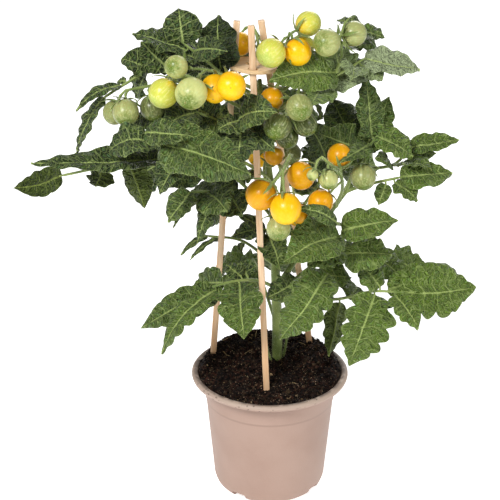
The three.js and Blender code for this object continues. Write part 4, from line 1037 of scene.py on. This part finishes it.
def add_block(shape, turn, inner, outer, width, low, high):
    """A block on the pot's foot that points outwards, rounded along its top edges."""
    out = np.array([math.cos(turn), math.sin(turn), 0])
    side = np.cross(UP, out)
    half = width / 2
    soft = min(1.4, 0.3 * (high - low))
    right = [(half, low), (half, high - soft), (half - 0.3 * soft, high - 0.3 * soft), (half - soft, high)]
    section = right + [(-s, z) for s, z in reversed(right)]
    corners = [out * r + side * s + UP * z for r in (inner, outer) for s, z in section]
    shape.add(corners, prism_faces(len(section)))


def make_pot():
    """A turned shell, with a covered notch and a drainage hole at each of the places round its foot."""
    body = mesh_object("fine_pot", lathe_shape(pot_profile(), 144))
    turns = [math.radians(NOTCH_FIRST_ANGLE + i * 360 / NOTCH_COUNT) for i in range(NOTCH_COUNT)]
    covers, cuts = Shape(), Shape()
    for turn in turns:
        add_block(covers, turn, NOTCH_INNER_RADIUS - POT_WALL, POT_FOOT_RADIUS - 2.5,
                  NOTCH_WIDTH + 2 * POT_WALL, 0.4, NOTCH_HEIGHT + POT_WALL)
        add_block(cuts, turn, NOTCH_INNER_RADIUS, POT_RIM_RADIUS, NOTCH_WIDTH, -1, NOTCH_HEIGHT)
    inside = [(0, 0.1), (POT_BASE_RADIUS - 0.2, 0.1), (POT_FOOT_RADIUS - 0.6, 8.2), (0, 8.2)]
    ceilings = mesh_object("ceilings", covers)
    combine(ceilings, lathe_shape(inside, 96), "INTERSECT")
    combine(body, ceilings, "UNION")
    combine(body, cuts)
    for turn in turns:
        at = NOTCH_INNER_RADIUS + DRAIN_HOLE_RADIUS + 1
        hole = lathe_shape([(0, 2), (DRAIN_HOLE_RADIUS, 2), (DRAIN_HOLE_RADIUS, 9), (0, 9)], 20)
        hole.points[0] += (at * math.cos(turn), at * math.sin(turn), 0)
        combine(body, hole)
    finish_cut(body, "pot", pot_material(), 38)


# ---------- Soil ----------

def smooth(share):
    share = min(max(share, 0.0), 1.0)
    return share * share * (3 - 2 * share)


def soil_height(x, y):
    heap = SOIL_LEVEL + SOIL_MOUND * smooth((y + 45) / 70)
    edge = smooth((math.hypot(x, y) - 53) / 6)
    clods = 0.7 * math.sin(x * 0.21 + 1) * math.cos(y * 0.18) + 0.5 * math.sin(x * 0.47 - y * 0.39)
    return heap * (1 - edge) + min(heap, SOIL_EDGE_LEVEL) * edge + clods


def spot_on_soil(reach, rng):
    r = reach * math.sqrt(rng.random())
    angle = rng.uniform(0, TURN)
    return r * math.cos(angle), r * math.sin(angle)


def add_crumb(shape, centre, size, rng, tone):
    """One rough crumb: a low ball with moved corners."""
    rings, sides = 4, 6
    corners = [(0, 0, 1)]
    for i in range(1, rings):
        polar = math.pi * i / rings
        for j in range(sides):
            angle = TURN * (j + 0.5 * (i % 2)) / sides
            out = math.sin(polar)
            corners.append((out * math.cos(angle), out * math.sin(angle), math.cos(polar)))
    corners = np.array(corners + [(0, 0, -1)])
    corners = corners * rng.uniform(0.7, 1.2, (len(corners), 1))
    corners = corners * (1, rng.uniform(0.6, 1), rng.uniform(0.5, 0.9)) * size
    turn = rng.uniform(0, math.pi)
    spin = np.array([[math.cos(turn), math.sin(turn), 0], [-math.sin(turn), math.cos(turn), 0], [0, 0, 1]])
    shape.add(centre + corners @ spin, flipped(pole_faces(sides, len(corners))), tint=(tone, 0, 0))


def add_fibre(shape, rng):
    """A thin root or straw that lies on the soil."""
    x, y = spot_on_soil(54, rng)
    turn = rng.uniform(0, TURN)
    length = rng.uniform(2.5, 9)
    bow = rng.uniform(-0.3, 0.3) * length
    points = []
    for t in np.linspace(-0.5, 0.5, 6):
        px = x + t * length * math.cos(turn) - bow * (0.25 - t * t) * math.sin(turn)
        py = y + t * length * math.sin(turn) + bow * (0.25 - t * t) * math.cos(turn)
        points.append((px, py, soil_height(px, py) + 0.9 + rng.uniform(-0.2, 0.4)))
    thick = rng.uniform(0.12, 0.3)
    add_tube(shape, np.array(points), np.full(6, thick), 5, 1, (rng.uniform(0, 1), 0, 0))


def make_soil():
    rng = np.random.default_rng(7)
    edge = POT_LIP_INNER_RADIUS - 0.35
    sides = 180
    corners = [(0, 0, soil_height(0, 0))]
    for r in np.concatenate([np.linspace(0, 50, 45)[1:], np.linspace(51, edge, 9)]):
        for x, y, _ in circle(r, 0, sides):
            rough = 2.0 * noise.fractal(Vector((x, y, 3)) / 6, 0.75, 2.2, 5) * min(1, (edge - r) / 3 + 0.15)
            corners.append((x, y, soil_height(x, y) + rough))
    for r, z in ((POT_BODY_RADIUS - POT_WALL - 0.4, POT_HEIGHT - 5.4), (POT_FOOT_RADIUS - POT_WALL - 0.4, 12),
                 (POT_BASE_RADIUS - 2, 8)):
        corners += circle(r, z, sides)
    corners.append((0, 0, 8))
    shape = Shape()
    shape.add(corners, flipped(pole_faces(sides, len(corners))))
    for _ in range(SOIL_CRUMBS):
        x, y = spot_on_soil(58, rng)
        size = rng.choice((0.5, 0.8, 1.2, 2.0), p=(0.42, 0.34, 0.18, 0.06)) * rng.uniform(0.8, 1.2)
        tone = rng.choice((0, 0.12, 0.9), p=(0.72, 0.26, 0.02))
        add_crumb(shape, (x, y, soil_height(x, y) + 0.2 * size), size, rng, tone)
    for _ in range(SOIL_FIBRES):
        add_fibre(shape, rng)
    dress("soil", shape, [soil_material(), fibre_material()], "soil")


# ---------- Sticks, disc and stem ----------

def stick_point(soil, disc, z):
    """The point at a height on the line through a stick's points at the soil and in the disc."""
    share = (z - soil[2]) / (DISC_CENTRE[2] - soil[2])
    return np.array([soil[0] + share * (disc[0] - soil[0]), soil[1] + share * (disc[1] - soil[1]), z])


def make_stick(name, soil, disc, bottom, seed):
    """A split stick: rectangular with worn edges, slightly uneven along its length."""
    rng = np.random.default_rng(seed)
    low, high = stick_point(soil, disc, bottom), stick_point(soil, disc, STICK_TOP)
    length = np.linalg.norm(high - low)
    along = unit(high - low)
    side = unit(np.cross(-FRONT, along))
    other = np.cross(along, side)
    soft = 0.55
    w, d = STICK_WIDTH / 2, STICK_DEPTH / 2
    corner = np.array([(w, d - soft), (w - 0.3 * soft, d - 0.3 * soft), (w - soft, d)])
    section = np.vstack([corner, corner[::-1] * (-1, 1), -corner, corner[::-1] * (1, -1)])
    middle = np.arange(STICK_POINT, length - 1, 4)
    heights = np.concatenate([[0, STICK_POINT * 0.6], middle, [length - 0.5, length]])
    wear = rng.uniform(-0.12, 0.12, (len(heights), len(section)))
    wear[1:-1] = (wear[:-2] + wear[1:-1] + wear[2:]) / 3
    thin = np.minimum(1.0, 0.35 + 0.65 * heights / STICK_POINT)
    thin[-1] = 0.88
    size = (thin[:, None] * (1 + wear / 2.5))[..., None]
    corners = low + along * heights[:, None, None] + size * (side * section[:, :1] + other * section[:, 1:])
    shape = Shape()
    shape.add(corners.reshape(-1, 3), prism_faces(len(section), len(heights)))
    dress(name, shape, [wood_material(name + "_wood")], "wood")


def aim_lathe(shape, axis, at):
    """Turns a lathe's corners from +Z to an axis and moves them to a place."""
    shape.points[0] = at + shape.points[0] @ np.array([*across_from(axis), axis])


def make_disc():
    tilt = math.radians(DISC_TILT)
    facing = np.array([math.sin(tilt), 0, math.cos(tilt)])
    half = DISC_THICKNESS / 2
    section = [(0, -half), (DISC_RADIUS, -half), (DISC_RADIUS, half), (0, half)]
    plate = lathe_shape(rounded_profile(section, 0.6), 96)
    aim_lathe(plate, facing, DISC_CENTRE)
    body = mesh_object("fine_stick_disc", plate)
    holes = [(DISC_CENTRE, facing, DISC_CENTRE_HOLE_RADIUS)]
    for _, soil, disc, _ in STICKS:
        at = stick_point(soil, disc, DISC_CENTRE[2])
        holes.append((at, unit(stick_point(soil, disc, STICK_TOP) - at), DISC_STICK_HOLE_RADIUS))
    for at, axis, radius in holes:
        drill = lathe_shape([(0, -8), (radius, -8), (radius, 8), (0, 8)], 40)
        aim_lathe(drill, axis, at)
        combine(body, drill)
    finish_cut(body, "stick_disc", disc_material(), 35)


def make_stem(materials):
    rng = np.random.default_rng(3)
    shape = Shape()
    for points in STEMS:
        curve = Curve([p[:3] for p in points])
        places = np.linspace(0, 1, int(curve.length / 4) + 3)
        chain = curve.at(places)
        radii = np.interp(places, np.linspace(0, 1, len(points)), [p[3] for p in points])
        add_tube(shape, chain, radii, 14)
        shown = chain[:, 2] > SOIL_LEVEL - 3
        add_hairs(shape, chain[shown], radii[shown], 0.22, 1.5, rng, 1)
    dress("plant_stem", shape, materials, "stem")


# ---------- Camera, light and floor ----------

def add_light(name, at, target, size, power):
    lamp = bpy.data.lights.new(name, "AREA")
    lamp.shape = "DISK"
    lamp.size = size
    lamp.energy = power
    made = bpy.data.objects.new(name, lamp)
    made.location = at
    made.rotation_euler = (Vector(target) - Vector(at)).to_track_quat("-Z", "Y").to_euler()
    bpy.context.scene.collection.objects.link(made)


def make_camera(scene):
    camera = bpy.data.cameras.new("camera")
    camera.lens = CAMERA_LENS
    camera.sensor_width = 36
    camera.clip_start = 0.05
    camera.clip_end = 50
    holder = bpy.data.objects.new("camera", camera)
    holder.location = CAMERA_AT
    holder.rotation_euler = (math.radians(90 - CAMERA_PITCH), 0, 0)
    scene.collection.objects.link(holder)
    scene.camera = holder


def make_stage():
    scene = bpy.context.scene
    scene.view_settings.view_transform = "Standard"
    scene.view_settings.look = "None"
    make_camera(scene)
    world = bpy.data.worlds.new("studio")
    world.use_nodes = True
    sky = world.node_tree.nodes["Background"].inputs
    sky["Color"].default_value = (1.0, 1.0, 1.0, 1)
    sky["Strength"].default_value = WORLD_LIGHT
    scene.world = world
    add_light("key", (-0.7, -1.1, 1.35), (0, 0, 0.25), 0.5, KEY_LIGHT)
    add_light("fill", (0.9, -0.9, 0.95), (0, 0, 0.25), 0.5, FILL_LIGHT)
    add_light("back", (0.3, 1.3, 0.9), (0, 0, 0.2), 0.8, BACK_LIGHT)
    lines = np.linspace(-6000, 6000, 13)
    floor = Shape()
    floor.add([(x, y, 0) for y in lines for x in lines], grid_faces(13, 13))
    paint = Paint("floor_white", 0.9, Specular_IOR_Level=0.1)
    paint.feed(paint.shader["Emission Color"], (255, 255, 255))
    paint.feed(paint.shader["Emission Strength"], FLOOR_GLOW)
    white = paint.mix(paint.noise(3.0), (238.614,) * 3, (241.046,) * 3)
    mesh_object("floor", floor, [paint.finish(white)])


# ---------- Assembly ----------

make_stage()
make_pot()
make_soil()
for number, stick in enumerate(STICKS):
    make_stick(*stick, 20 + number)
make_disc()

stalk_green = stalk_material("stalk_green", (104, 124, 58), (146, 162, 88))
stem_green = stalk_material("stem_green", (88, 106, 46), (132, 148, 76))
hair = hair_material()
leaf_looks = [
    leaf_material("leaf_top", (10, 33, 15), (110, 138, 42), (168, 186, 108), (92, 124, 72), 0.42, 1.15),
    # The undersides are darker and more saturated than their own paler olive: painted shade, with painted
    # light shining through the blade.
    leaf_material("leaf_under", (44, 60, 8), (88, 106, 30), (118, 132, 56), (92, 108, 48), 0.55, 1.2),
    stalk_green, hair]
skins = {colour: fruit_material("fruit_" + colour, *look) for colour, look in FRUIT_SKINS.items()}

make_stem([stem_green, hair])
for number, truss in enumerate(TRUSSES):
    make_truss(*truss, [stalk_green, hair, skins["green"]], skins, number)
for number, leaf in enumerate(LEAVES):
    make_leaf(*leaf, leaf_looks, 500 + number)
